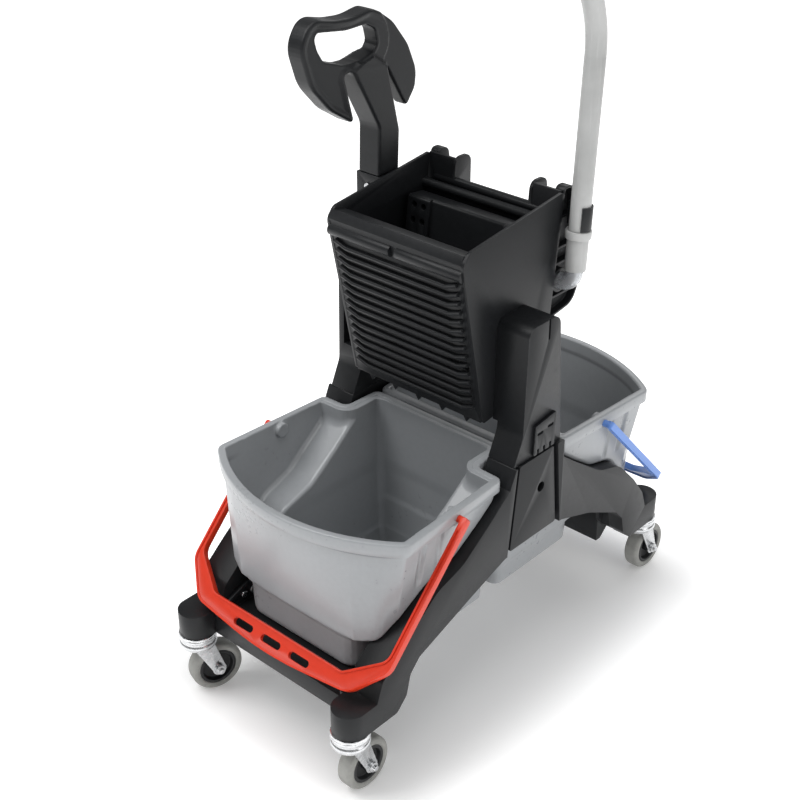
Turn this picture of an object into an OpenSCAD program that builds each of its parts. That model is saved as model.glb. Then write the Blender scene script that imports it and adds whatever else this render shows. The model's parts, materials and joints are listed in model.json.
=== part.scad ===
// Double mop bucket trolley: two lift-out buckets on a castored chassis, with a
// lever-worked mop press standing between them and a push tube at the rear.
// X points right, Y to the rear and Z up. The origin is on the floor, in the middle.
// Above the castors, heights are measured from the chassis datum, the level of the
// shelves that carry the buckets.

/* [Castors] */
// Wheel diameter
wheel_d = 75; // [60:1:90]
// Tyre width
wheel_w = 24; // [18:1:28]
// Diameter of the wheel centre under the tyre
wheel_core_d = 54; // [44:1:58]
// Distance of each swivel axis from the middle, across
castor_x = 146; // [140:1:156]
// Half of the distance between the front and rear swivel axes
castor_y = 322; // [312:1:345]
// How far the castors' middle lies in front of the press
castor_shift = 15; // [0:1:18]
// How far a wheel trails its swivel axis
castor_trail = 22; // [14:1:28]
// Turn of the front left castor at rest, in degrees
front_left_turn = -17; // [-60:1:60]
// Height of the swivel head between the wheel and the chassis
castor_head_h = 30; // [28:1:36]
// Diameter of the swivel head
castor_head_d = 53; // [44:1:54]
// Height of the fixed bearing cup above the fork
castor_cup_h = 10; // [6:0.5:11]
// Height of the fork's crown
crown_h = 11; // [6:0.5:12]
// Thickness of the fork's sheet steel
fork_t = 2.5; // [2:0.1:4]
// Diameter of the swivel stem
stem_d = 10; // [8:0.5:14]
// Length of the stem inside the boss
stem_in = 30; // [20:1:34]
// Diameter of the wheel axle
axle_d = 8; // [6:0.5:10]

/* [Chassis] */
// Width of the side frames
frame_w = 48; // [44:1:56]
// Wall thickness of the side frames
frame_t = 5; // [4:0.5:7]
// Height of the side frames at the middle
frame_h = 266; // [256:1:285]
// Diameter of the castor bosses
boss_d = 48; // [46:1:56]
// Height of the castor bosses' undersides
boss_low_h = 8; // [6:0.5:10]
// Height of the castor bosses' tops
boss_h = 46; // [42:1:48]
// Half length of the frames' middle block
saddle_y = 58; // [57:1:60]
// Distance from the middle to the shelves' inner edges
shelf_in_y = 230; // [200:1:245]
// Height of the lower edges of the shelves' inner ends
shelf_low_h = -14; // [-18:1:-4]
// Height of the shelves' outer faces
shelf_face_h = 27; // [20:1:30]
// Wall thickness of the shelves
shelf_t = 6; // [4:0.5:8]
// Thickness of the web that ties the side frames together
web_t = 12; // [8:1:16]
// Diameter of the frame screws
screw_d = 5; // [4:0.5:6]

/* [Columns] */
// Depth of the column covers, out from the side frames
cover_t = 18; // [14:1:24]
// Height of the column covers' lower edges
cover_base_h = 138; // [128:1:150]
// Half length of a column cover at its foot
cover_foot_y = 50; // [42:1:52]
// Half length of a column cover at its top
cover_top_y = 36; // [28:1:42]
// Wall thickness of the covers and press legs
cover_wall = 4; // [3:0.5:6]
// Diameter of the accessory holes
accessory_d = 15; // [10:0.5:18]
// Place of the accessory holes, towards the rear
accessory_y = 12; // [-10:1:20]
// Height of the accessory holes
accessory_h = 212; // [180:1:230]
// Height of the press legs
leg_h = 192; // [170:1:220]
// How far the press legs stand back from the column covers
leg_setback = 3; // [1:0.5:6]
// Thickness of the clip plates that join legs and covers
clip_t = 3; // [2:0.5:5]

/* [Buckets] */
// Half width of the rim at the outer corners
rim_half_w = 171; // [166:1:180]
// Height of the rim
rim_h = 259; // [252:1:262]
// Distance from the middle to the rim's outer corners
rim_corner_y = 257; // [245:1:270]
// How far the curved end of the rim bows out
rim_bow = 62; // [45:1:75]
// Half width of the rim between the columns
neck_half_w = 117; // [110:1:119]
// Distance from the middle to the rim's inner edge
rim_in_y = 2; // [1.5:0.5:6]
// How far the rim stands out from the walls
rim_out = 8; // [6:0.5:12]
// Height of the rim's skirt
rim_skirt = 18; // [12:1:22]
// Wall thickness of the buckets
bucket_t = 3; // [2.5:0.1:5]
// Height of the shoulder at the bucket's outer end
shoulder_h = 91; // [80:1:105]
// Half width of the bucket's foot
foot_half_w = 101; // [95:1:105]
// Distance from the middle to the foot's outer edge
foot_out_y = 281; // [270:1:284]
// Height of the bucket's underside
bucket_base_h = 8; // [4:0.5:16]
// Height of the foot's underside, where it stands on the shelf
seat_h = 37; // [30:0.5:42]

/* [Bails] */
// Distance of the bail pivots from the middle
pivot_y = 157; // [140:1:165]
// Height of the bail pivots
pivot_h = 246; // [238:1:248]
// Diameter of the bail pins
bail_pin_d = 10; // [8:0.5:12]
// Length from the pivots to the outer edge of the grip
bail_reach = 269; // [255:1:274]
// Angle between a hanging bail and the line from its pivot to the frame's shoulder
bail_drop = 3.3; // [2.8:0.1:6]
// Width of the bail arms
bail_arm_w = 9; // [7:0.5:14]
// Width of the bail grip
bail_grip_w = 33; // [26:0.5:36]
// Thickness of a bail
bail_t = 10; // [7:0.5:12]

/* [Press] */
// Half width of the hopper
hopper_half_w = 114; // [108:1:116]
// Wall thickness of the hopper
hopper_t = 4.5; // [3.5:0.5:6]
// Height of the hopper's lower front edge
hopper_base_h = 314; // [312:1:330]
// Height of the hopper's upper front edge
hopper_front_h = 552; // [530:1:575]
// Height of the hopper's upper rear edge
hopper_rear_h = 590; // [570:1:610]
// Distance from the middle to the lower front edge
hopper_base_y = 48; // [42:1:52]
// Distance from the middle to the upper front edge
hopper_front_y = 97; // [85:1:105]
// Distance from the middle to the upper rear edge
hopper_rear_y = 103; // [95:1:112]
// Number of ribs on the front wall
rib_count = 15; // [8:1:16]
// Height that the ribs stand out from the front wall
rib_out = 5; // [2:0.5:6]
// Thickness of the pressure plate
plate_t = 8; // [6:0.5:12]
// Half width of the pressure plate
plate_half_w = 100; // [90:1:103]
// Height of the pressure plate's upper edge
plate_top_h = 548; // [520:1:555]

/* [Lever] */
// Place of the lever's shaft, towards the rear
shaft_y = 29; // [24:1:34]
// Height of the lever's shaft above the hopper's base
shaft_h = 44; // [38:1:56]
// Diameter of the lever's shaft
shaft_d = 16; // [12:0.5:20]
// Width of the lever's blade between the cheeks of the left leg
blade_w = 30; // [24:1:34]
// Section of the lever's socket
socket_w = 42; // [36:1:44]
// Height at which the handle joins the socket
socket_top_h = 575; // [560:1:590]
// Width of the handle's stem
stem_w = 38; // [32:1:40]
// Thickness of the handle's loop
loop_t = 28; // [20:1:36]
// Height of the handle's loop above the socket
loop_h = 230; // [210:1:250]

/* [Push tube] */
// Diameter of the push tube
tube_d = 27; // [22:1:32]
// Wall thickness of the push tube
tube_t = 2; // [1.5:0.1:3]
// Distance of the tube from the hopper's side
tube_out = 20; // [18:1:26]
// Place of the tube's elbow, towards the rear
elbow_y = 106; // [102:1:112]
// Height of the tube's elbow
elbow_h = 465; // [455:1:475]
// Bend radius of the elbow
elbow_r = 20; // [18:1:24]
// Lean of the tube to the rear, in degrees
tube_lean = 2.6; // [0:0.1:6]
// Straight length of the tube above the elbow
tube_len = 278; // [220:1:340]
// Radius of the bend under the grip
tube_bend_r = 150; // [110:1:180]
// Angle of the bend under the grip, in degrees
tube_bend = 92; // [60:1:100]
// Length of the grip
grip_len = 95; // [60:1:140]

/* [Fits] */
// Clearance around a turning pin or shaft
run_gap = 0.05; // [0.02:0.01:0.1]
// Gap at a loose seat
seat_gap = 0.3; // [0.2:0.05:0.5]
// Gap between a moving part and its neighbour
move_gap = 1; // [0.6:0.1:2]

/* [Hidden] */
$fn = 48;
CORNERS = [["front_left", -1, -1], ["front_right", 1, -1], ["rear_left", -1, 1], ["rear_right", 1, 1]];

// Colours
BLACK = "#2c2e31";
GREY = "#a3a6a8";
RED = "#e0401f";
BLUE = "#5f86d0";
ZINC = "#c9ccce";
TYRE = "#8f8f8a";
TUBE = "#b4b5b4";
CLEAR = "#cfd6da";

// Derived places
wheel_r = wheel_d / 2;
deck_z = wheel_d + castor_head_h - boss_low_h;
boss_z = wheel_d + castor_head_h;
cup_z = boss_z - castor_cup_h;
crown_z = cup_z - seat_gap - crown_h;
fork_in_x = wheel_w / 2 + 2;
fork_out_x = fork_in_x + fork_t;
frame_in_x = castor_x - frame_w / 2;
frame_out_x = castor_x + frame_w / 2;
cover_in_x = frame_out_x - 2 - cover_t;
cover_out_x = cover_in_x + cover_t;
cover_top_h = frame_h - 1;
leg_out_x = cover_out_x - leg_setback;
leg_top_h = frame_h + leg_h;
lever_x = -(hopper_half_w + leg_out_x) / 2;
hopper_in_x = hopper_half_w - hopper_t;
front_lean = atan((hopper_front_y - hopper_base_y) / (hopper_front_h - hopper_base_h));
front_len = norm([hopper_front_y - hopper_base_y, hopper_front_h - hopper_base_h]);
bush_r = shaft_d / 2 + 3;
slot_w = blade_w + 2 * move_gap;
pin_r = bail_pin_d / 2;
bail_in_x = rim_half_w + move_gap;
bail_out_x = bail_in_x + bail_arm_w;
tube_x = hopper_half_w + tube_out;
tube_r = tube_d / 2;
elbow_pipe_r = tube_r - 2;
cuff_r = tube_r + 0.8;
shaft_at_h = hopper_base_h + shaft_h;
plate_lean = atan((hopper_rear_y - 14 - 35 - shaft_y) / (plate_top_h - shaft_at_h));

// Points of a circular arc about c, from angle a to angle b
function arc(c, r, a, b, n) = [for (i = [0:n]) c + r * [cos(a + (b - a) * i / n), sin(a + (b - a) * i / n)]];

function xy(p) = [p[0], p[1]];
function unit(v) = v / norm(v);
function at(list, i) = list[(i + len(list)) % len(list)];

// The corner at b, between a and c, rounded to radius r with n steps
function round_corner(a, b, c, r, n) = r <= 0 ? [b] :
    let (u = unit(a - b), v = unit(c - b), half = acos(max(-1, min(1, u * v))) / 2)
    let (centre = b + unit(u + v) * r / sin(half))
    let (p = b + u * r / tan(half) - centre, q = b + v * r / tan(half) - centre)
    let (from = atan2(p[1], p[0]), turn = atan2(q[1], q[0]) - from)
    let (sweep = turn > 180 ? turn - 360 : turn < -180 ? turn + 360 : turn)
    arc(centre, r, from, from + sweep, n);

// A closed outline of [x, y, radius] corners, as plain points
function rounded(pts, n = 6) = [for (i = [0:len(pts) - 1])
    each round_corner(xy(at(pts, i - 1)), xy(pts[i]), xy(at(pts, i + 1)), pts[i][2], n)];

// A counter-clockwise outline of [x, y, radius] corners, moved inwards by d
function inset(pts, d) = [for (i = [0:len(pts) - 1])
    let (e = unit(xy(pts[i]) - xy(at(pts, i - 1))), f = unit(xy(at(pts, i + 1)) - xy(pts[i])))
    let (m = [-e[1], e[0]], n = [-f[1], f[0]], p = xy(pts[i]) + (m + n) * d / (1 + m * n))
    let (r = pts[i][2], bent = e[0] * f[1] - e[1] * f[0])
    [p[0], p[1], r == 0 ? 0 : max(1, bent > 0 ? r - d : r + d)]];

// Mirror image of an outline in the second axis, in reverse order
function mirrored(pts) = [for (i = [len(pts) - 1:-1:0]) [-pts[i][0], pts[i][1], pts[i][2]]];

// A closed solid through two outlines with the same number of points
module loft(low, low_z, high, high_z) {
    n = len(low);
    sides = [for (i = [0:n - 1]) let (j = (i + 1) % n) each [[i, n + i, n + j], [i, n + j, j]]];
    polyhedron(
        points = concat([for (p = low) [p[0], p[1], low_z]], [for (p = high) [p[0], p[1], high_z]]),
        faces = concat([[for (i = [0:n - 1]) i]], [[for (i = [0:n - 1]) 2 * n - 1 - i]], sides));
}

// An outline of [y, z] points, extruded along X
module extrude_x(x0, x1) {
    translate([x0, 0, 0])
        rotate([90, 0, 90])
            linear_extrude(x1 - x0)
                children();
}

// A round bar along X
module bar_x(x0, x1, y, z, r) {
    translate([x0, y, z])
        rotate([0, 90, 0])
            cylinder(h = x1 - x0, r = r);
}

// Places a piece above the castors
module on_deck() {
    translate([0, 0, deck_z])
        children();
}

// A left-hand copy of a right-hand piece
module side(s) {
    if (s > 0)
        children();
    else
        mirror([1, 0, 0])
            children();
}

// The rear copy of a front piece
module end(e) {
    rotate(e < 0 ? 0 : 180)
        children();
}

// Castors

// Distance of the front (e = -1) or rear (e = 1) swivel axes from the press's middle
function axis_y(e) = castor_y - e * castor_shift;

function castor_turn(c) = c[1] < 0 && c[2] < 0 ? front_left_turn : 0;

module at_castor(c) {
    translate([c[1] * castor_x, c[2] * axis_y(c[2]), 0])
        rotate(castor_turn(c))
            children();
}

module at_wheel(c) {
    at_castor(c)
        translate([0, castor_trail, wheel_r])
            rotate([0, 90, 0])
                children();
}

module castor_stems() {
    color(ZINC)
        for (c = CORNERS)
            at_castor(c) {
                translate([0, 0, crown_z - seat_gap])
                    cylinder(h = boss_z + stem_in - crown_z + seat_gap, d = stem_d);
                translate([0, 0, crown_z - seat_gap - 3])
                    cylinder(h = 3, d = stem_d + 8);
            }
}

module castor_cups() {
    color(ZINC)
        for (c = CORNERS)
            at_castor(c)
                difference() {
                    union() {
                        translate([0, 0, cup_z])
                            cylinder(h = castor_cup_h, d = castor_head_d - 2);
                        translate([0, 0, cup_z + castor_cup_h / 2])
                            rotate_extrude()
                                translate([castor_head_d / 2 - castor_cup_h / 2, 0])
                                    circle(d = castor_cup_h);
                    }
                    translate([0, 0, cup_z - 1])
                        cylinder(h = castor_cup_h + 2, d = stem_d + 2 * seat_gap);
                }
}

module castor_fork(c) {
    cheek_r = axle_d / 2 + 6;
    color(ZINC)
        at_castor(c)
            difference() {
                union() {
                    translate([0, 0, crown_z])
                        cylinder(h = crown_h, d = castor_head_d - 4);
                    translate([0, 0, crown_z + crown_h / 2])
                        rotate_extrude()
                            translate([castor_head_d / 2 - crown_h / 2, 0])
                                circle(d = crown_h);
                    for (s = [-1, 1])
                        side(s)
                            extrude_x(fork_in_x, fork_out_x) {
                                polygon([[-13, crown_z + 2], [17, crown_z + 2],
                                    [castor_trail + cheek_r, wheel_r], [castor_trail - cheek_r, wheel_r]]);
                                translate([castor_trail, wheel_r])
                                    circle(r = cheek_r);
                            }
                }
                translate([0, 0, crown_z - 1])
                    cylinder(h = crown_h + 2, d = stem_d + 2 * run_gap);
                bar_x(-fork_out_x - 1, fork_out_x + 1, castor_trail, wheel_r, axle_d / 2 + run_gap);
            }
}

module castor_axle(c) {
    color(ZINC)
        at_wheel(c) {
            cylinder(h = 2 * fork_out_x + 2 * axle_d, d = axle_d, center = true);
            translate([0, 0, fork_out_x])
                cylinder(h = axle_d / 2, d = axle_d + 6);
            translate([0, 0, -fork_out_x - axle_d * 0.7])
                cylinder(h = axle_d * 0.7, d = axle_d + 7, $fn = 6);
        }
}

module castor_hub(c) {
    core_r = wheel_core_d / 2;
    bore_r = axle_d / 2 + run_gap;
    boss_r = axle_d / 2 + 5;
    half = fork_in_x - seat_gap;
    color("#232426")
        at_wheel(c)
            rotate_extrude()
                polygon([[bore_r, -half], [boss_r, -half], [boss_r, -4], [core_r - 6, -4],
                    [core_r - 4, -wheel_w / 2 + 1], [core_r, -wheel_w / 2 + 1], [core_r, wheel_w / 2 - 1],
                    [core_r - 4, wheel_w / 2 - 1], [core_r - 6, 4], [boss_r, 4], [boss_r, half], [bore_r, half]]);
}

module castor_tyre(c) {
    core_r = wheel_core_d / 2;
    color(TYRE)
        at_wheel(c)
            rotate_extrude($fn = 96)
                polygon(rounded([[core_r, -wheel_w / 2 + 1, 0], [core_r + 4, -wheel_w / 2, 2],
                    [wheel_r, -wheel_w / 2, 6], [wheel_r, wheel_w / 2, 6],
                    [core_r + 4, wheel_w / 2, 2], [core_r, wheel_w / 2 - 1, 0]]));
}

// Chassis

// Upper edge of a side frame's half, from the middle block out to the boss
function frame_top(e, lift) = let (cy = axis_y(e)) [
    [saddle_y + lift, frame_h - 27 + lift, 3],
    [100, 207 + lift, 60], [150, 172 + lift, 60], [200, 157 + lift, 50],
    [(200 + cy) / 2 - 10, 112 + lift, 50], [cy - arm_in, arm_h + lift, 20], [cy - 25, boss_h + lift, 0]];

// Shoulder of a side frame's arm: distance from the swivel axis, and height
arm_in = 36;
arm_h = 76;

// Half length of the middle block's top, less at the front
function block_top_y(e) = e < 0 ? cover_top_y + cover_flange + 3 : saddle_y;

// Lower edge of a side frame's half, from the boss to the middle
function frame_low(e) = let (cy = axis_y(e))
    [[cy - 62, boss_low_h, 8], [cy - 80, 26, 12], [cy - 87, 56, 14], [cy - 104, 74, 14], [130, 111, 60], [62, 134, 20]];

function backwards(pts) = [for (i = [len(pts) - 1:-1:0]) pts[i]];

function frame_half(e) = concat([[axis_y(e), boss_low_h, 0], [axis_y(e), boss_h, 0]],
    backwards(frame_top(e, 0)), [[block_top_y(e), frame_h, 2]]);

function frame_profile() = rounded(concat(
    frame_half(1), mirrored(frame_half(-1)),
    [for (p = frame_low(-1)) [-p[0], p[1], p[2]]], backwards(frame_low(1))));

// Places of the screws that hold a shelf between the side frames, as [y, z]
function screw_spots() = [[-foot_out_y + 6, 50], [-foot_out_y + 22, 50]];

function cover_outline(grow) = [
    [-cover_foot_y - grow, cover_base_h, 3], [cover_foot_y + grow, cover_base_h, 3],
    [cover_top_y + grow, cover_top_h, 3], [-cover_top_y - grow, cover_top_h, 3]];

cover_flange = 7;

// Recess in a side frame that takes the column cover, open at its top and bottom
function cover_recess() =
    let (foot_y = cover_foot_y + cover_flange + seat_gap, top_y = cover_top_y + cover_flange + seat_gap)
    [[-foot_y, 0], [foot_y, 0], [foot_y, cover_base_h], [top_y, cover_top_h], [top_y, frame_h + 1],
    [-top_y, frame_h + 1], [-top_y, cover_top_h], [-foot_y, cover_base_h]];

module side_frame(s) {
    rib_gap = 58;
    color(BLACK)
        side(s)
            on_deck()
                difference() {
                    union() {
                        extrude_x(frame_in_x, frame_out_x)
                            polygon(frame_profile());
                        for (e = [-1, 1])
                            translate([castor_x, e * axis_y(e), boss_low_h])
                                cylinder(h = boss_h - boss_low_h, d = boss_d);
                    }
                    // Underside, hollow between cross ribs
                    intersection() {
                        translate([0, 0, -frame_t])
                            extrude_x(frame_in_x + frame_t, cover_in_x - frame_t)
                                polygon(frame_profile());
                        for (y = [52 - axis_y(-1):rib_gap:axis_y(1) - 53])
                            translate([0, y, -1])
                                cube([frame_out_x, min(rib_gap, axis_y(1) - 52 - y) - frame_t, frame_h]);
                    }
                    // Recess that takes the column cover
                    extrude_x(cover_in_x, frame_out_x + 1)
                        polygon(cover_recess());
                    for (e = [-1, 1])
                        translate([castor_x, e * axis_y(e), boss_low_h - 1])
                            cylinder(h = stem_in + 2, d = stem_d + 2 * seat_gap);
                    for (e = [-1, 1], p = screw_spots())
                        bar_x(frame_in_x - 1, frame_in_x + frame_t + 1, -e * p[0], p[1], screw_d / 2 + run_gap);
                }
}

module shelf(e) {
    deck_top = seat_h - seat_gap;
    deck_low = deck_top - shelf_t;
    out_y = foot_out_y + 43.5;
    face_low = deck_top - shelf_face_h;
    color(BLACK)
        end(e)
            on_deck()
                difference() {
                    union() {
                        translate([-frame_in_x, -out_y, deck_low])
                            cube([2 * frame_in_x, out_y - shelf_in_y, shelf_t]);
                        translate([-frame_in_x, -out_y, face_low])
                            cube([2 * frame_in_x, shelf_t, shelf_face_h]);
                        for (s = [-1, 1])
                            side(s)
                                extrude_x(frame_in_x - shelf_t, frame_in_x)
                                    polygon([[-shelf_in_y, shelf_low_h], [-shelf_in_y, 84], [-foot_out_y + 14, 66],
                                        [-out_y + 1, deck_top + 8], [-out_y + 1, face_low],
                                        [-foot_out_y + 14, face_low], [-shelf_in_y - 10, shelf_low_h]]);
                        // Inner end wall
                        translate([-frame_in_x, -shelf_in_y - shelf_t, shelf_low_h])
                            cube([2 * frame_in_x, shelf_t, deck_low - shelf_low_h + 1]);
                        for (x = [-80:40:80])
                            translate([x - 2, -out_y + 1, face_low + 4])
                                cube([4, out_y - shelf_in_y - 1, deck_low - face_low - 3]);
                    }
                    for (s = [-1, 1], p = screw_spots())
                        side(s)
                            bar_x(frame_in_x - shelf_t - 1, frame_in_x + 1, p[0], p[1], screw_d / 2 + run_gap);
                }
}

module frame_screws() {
    color(ZINC)
        on_deck()
            for (e = [-1, 1], s = [-1, 1], p = screw_spots())
                end(e)
                    side(s) {
                        bar_x(frame_in_x - shelf_t - 1, frame_in_x + frame_t - 1, p[0], p[1], screw_d / 2);
                        bar_x(frame_in_x - shelf_t - 3, frame_in_x - shelf_t, p[0], p[1], screw_d);
                    }
}

module centre_web() {
    color(BLACK)
        on_deck()
            translate([-frame_in_x, -web_t / 2, cover_base_h + 10])
                cube([2 * frame_in_x, web_t, rim_h - rim_skirt - 14 - cover_base_h]);
}

module column_cover(s) {
    color(BLACK)
        side(s)
            on_deck()
                difference() {
                    union() {
                        extrude_x(cover_in_x, cover_out_x)
                            polygon(rounded(cover_outline(0)));
                        extrude_x(cover_in_x, cover_in_x + cover_t / 2)
                            polygon(rounded(cover_outline(cover_flange)));
                    }
                    difference() {
                        extrude_x(cover_in_x - 1, cover_out_x - cover_wall)
                            polygon(rounded(inset(cover_outline(0), cover_wall)));
                        bar_x(cover_in_x - 2, cover_out_x, accessory_y, accessory_h, accessory_d / 2 + cover_wall);
                    }
                    bar_x(cover_in_x - 2, cover_out_x + 1, accessory_y, accessory_h, accessory_d / 2);
                }
}

// Outline of a press leg, as [y, z, radius]
function leg_outline() = [[-block_top_y(-1), frame_h, 1], [54, frame_h, 2], [38, leg_top_h, 14],
    [-26, leg_top_h, 14], [-29, frame_h + 38, 30]];

module leg_shell(top) {
    difference() {
        extrude_x(hopper_half_w, leg_out_x)
            polygon(rounded(leg_outline()));
        intersection() {
            translate([0, 0, -cover_wall])
                extrude_x(frame_in_x + cover_wall, leg_out_x - cover_wall)
                    polygon(rounded(inset(leg_outline(), cover_wall)));
            translate([0, -100, frame_h - 20])
                cube([leg_out_x, 200, top - frame_h + 20]);
        }
        // Step under the hopper, past which the buckets are lifted
        translate([hopper_half_w - 1, -100, frame_h - 1])
            cube([frame_in_x - hopper_half_w + 1, 200, hopper_base_h - frame_h + 1]);
    }
}

module press_leg_right() {
    slot_y = 14;
    color(BLACK)
        on_deck()
            difference() {
                union() {
                    leg_shell(leg_top_h);
                    bar_x(hopper_half_w, leg_out_x - 1, shaft_y, shaft_at_h, bush_r + 5);
                }
                bar_x(hopper_half_w - 1, leg_out_x - cover_wall, shaft_y, shaft_at_h, bush_r);
                translate([leg_out_x - 3, slot_y, leg_top_h - 28])
                    cube([4, 4, 40]);
            }
}

module press_leg_left() {
    fork_low = shaft_at_h - 28;
    color(BLACK)
        on_deck()
            difference() {
                mirror([1, 0, 0])
                    leg_shell(fork_low - cover_wall);
                translate([lever_x - slot_w / 2, -100, fork_low])
                    cube([slot_w, 200, leg_h]);
                bar_x(-leg_out_x - 1, -hopper_half_w + 1, shaft_y, shaft_at_h, bush_r);
            }
}

module clip_plate(s) {
    low = frame_h + 3;
    high = low + 50;
    out_x = leg_out_x + clip_t + 1;
    color("#3a3b3d")
        side(s)
            on_deck()
                difference() {
                    extrude_x(leg_out_x, out_x)
                        polygon(rounded([[-9, low, 2], [35, low, 2], [37, high, 2], [-7, high - 6, 2]]));
                    for (y = [3, 25])
                        translate([out_x - clip_t, y - 6, high - 22 + y * 0.15])
                            cube([clip_t + 1, 12, 4]);
                    for (y = [0, 13, 26])
                        translate([leg_out_x - 1, y - 2, low - 1])
                            cube([clip_t + 3, 4, 9]);
                }
}

// Press

// Rear edge of the hopper's side walls at height z
function hopper_back(z) = hopper_rear_y - (hopper_rear_h - z) * 0.105;

hopper_floor_rear_h = hopper_base_h + 14;
// Bend of the rear wall, and its upper edge
rear_bend_h = hopper_base_h + 86;
rear_wall_h = hopper_rear_h - 32;

function hopper_side() = [
    [-hopper_base_y, hopper_base_h, 4], [hopper_back(hopper_floor_rear_h) - 20, hopper_floor_rear_h, 20],
    [hopper_back(hopper_floor_rear_h + 60), hopper_floor_rear_h + 60, 30],
    [hopper_rear_y, hopper_rear_h, 6], [-hopper_front_y + 12, hopper_front_h + 14, 12],
    [-hopper_front_y, hopper_front_h, 14]];

// Places a piece on the front wall: X across, Y up the wall, Z out of it
module on_front_wall() {
    translate([0, -hopper_base_y, hopper_base_h])
        rotate([90 + front_lean, 0, 0])
            children();
}

module front_rib(up) {
    half = hopper_half_w - 12;
    bend = 18;
    rise = bend * 0.38;
    rib_w = 4.5;
    translate([0, up, -1])
        linear_extrude(rib_out + 1)
            polygon([[-half, rise], [-half + bend, 0], [half - bend, 0], [half, rise],
                [half, rise + rib_w], [half - bend, rib_w], [-half + bend, rib_w], [-half, rise + rib_w]]);
}

module press_hopper() {
    pitch = (front_len - 40) / rib_count;
    strip = 24;
    tab_x = hopper_in_x - 43;
    top_bar_x = bracket_x - bracket_d - seat_gap;
    color(BLACK)
        on_deck()
            difference() {
                union() {
                    for (s = [-1, 1])
                        side(s) {
                            extrude_x(hopper_in_x, hopper_half_w)
                                polygon(rounded(hopper_side()));
                            // Raised rear corner and its fin
                            extrude_x(tab_x, hopper_in_x)
                                polygon([[hopper_back(rear_bend_h) - hopper_t, rear_bend_h],
                                    [hopper_back(rear_bend_h), rear_bend_h],
                                    [hopper_rear_y, hopper_rear_h], [hopper_rear_y - hopper_t, hopper_rear_h]]);
                            extrude_x(tab_x - hopper_t, tab_x)
                                polygon(rounded([[hopper_rear_y - 12, hopper_rear_h - 90, 0],
                                    [hopper_rear_y + 26, hopper_rear_h - 60, 8],
                                    [hopper_rear_y + 26, hopper_rear_h + 2, 12],
                                    [hopper_rear_y - 6, hopper_rear_h + 2, 12]]));
                        }
                    // Front wall with its folded top
                    extrude_x(-hopper_in_x, hopper_in_x)
                        polygon([[-hopper_base_y, hopper_base_h], [-hopper_front_y + 1, hopper_front_h],
                            [-hopper_front_y + 7, hopper_front_h + 11], [-hopper_front_y + 7 + strip, hopper_front_h + 5],
                            [-hopper_front_y + 5 + strip, hopper_front_h], [-hopper_front_y + 9, hopper_front_h - 4],
                            [-hopper_base_y + hopper_t + 2, hopper_base_h]]);
                    on_front_wall() {
                        for (i = [0:rib_count - 1])
                            front_rib(16 + i * pitch);
                        // Rolled edge above the ribs, parted in the middle
                        for (s = [-1, 1])
                            side(s)
                                translate([5, front_len - 16, -2])
                                    rotate([0, 90, 0])
                                        cylinder(h = hopper_half_w - 8, r = 8);
                    }
                    // Drip teeth under the front wall
                    for (x = [-84:42:84])
                        translate([x, -hopper_base_y + hopper_t + 2, hopper_base_h])
                            rotate([90, 0, 0])
                                linear_extrude(hopper_t)
                                    polygon([[-7, 1], [0, -9], [7, 1]]);
                    // Rear wall and the two rounded bars along its top
                    extrude_x(-hopper_in_x, hopper_in_x)
                        polygon([[hopper_back(hopper_floor_rear_h) - 20, hopper_floor_rear_h],
                            [hopper_back(rear_bend_h), rear_bend_h], [hopper_back(rear_wall_h), rear_wall_h],
                            [hopper_back(rear_wall_h) - hopper_t, rear_wall_h],
                            [hopper_back(rear_bend_h) - hopper_t, rear_bend_h],
                            [hopper_back(hopper_floor_rear_h) - 20 - hopper_t, hopper_floor_rear_h]]);
                    bar_x(-top_bar_x, top_bar_x, hopper_back(rear_wall_h), rear_wall_h, 6);
                    bar_x(-hopper_in_x, hopper_in_x, hopper_back(rear_wall_h - 10) - 10, rear_wall_h - 8, 6);
                }
                bar_x(-hopper_half_w - 1, hopper_half_w + 1, shaft_y, shaft_at_h, bush_r + 1);
            }
}

module drain_grate() {
    front = -hopper_base_y + hopper_t + 8;
    rear = hopper_back(hopper_floor_rear_h) - 28;
    slope = atan((hopper_floor_rear_h - hopper_base_h) / (rear - front));
    length = norm([rear - front, hopper_floor_rear_h - hopper_base_h]);
    color(BLACK)
        on_deck()
            translate([0, front, hopper_base_h + 3])
                rotate([slope, 0, 0])
                    difference() {
                        translate([-hopper_in_x, 0, 0])
                            cube([2 * hopper_in_x, length, 4]);
                        for (x = [-90:20:90])
                            translate([x - 4, 12, -1])
                                cube([8, length - 24, 6]);
                    }
}

module shaft_bushes() {
    inner_cheek = lever_x + slot_w / 2;
    outer_cheek = lever_x - slot_w / 2;
    color("#d8d8d2")
        on_deck()
            difference() {
                union() {
                    bar_x(inner_cheek + seat_gap, -hopper_half_w, shaft_y, shaft_at_h, bush_r);
                    bar_x(-leg_out_x, outer_cheek - seat_gap, shaft_y, shaft_at_h, bush_r);
                    bar_x(hopper_half_w, hopper_half_w + 24, shaft_y, shaft_at_h, bush_r);
                }
                bar_x(-leg_out_x - 1, leg_out_x + 1, shaft_y, shaft_at_h, shaft_d / 2 + run_gap);
            }
}

module lever_shaft() {
    color(ZINC)
        on_deck()
            bar_x(-leg_out_x, hopper_half_w + 23, shaft_y, shaft_at_h, shaft_d / 2);
}

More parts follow.
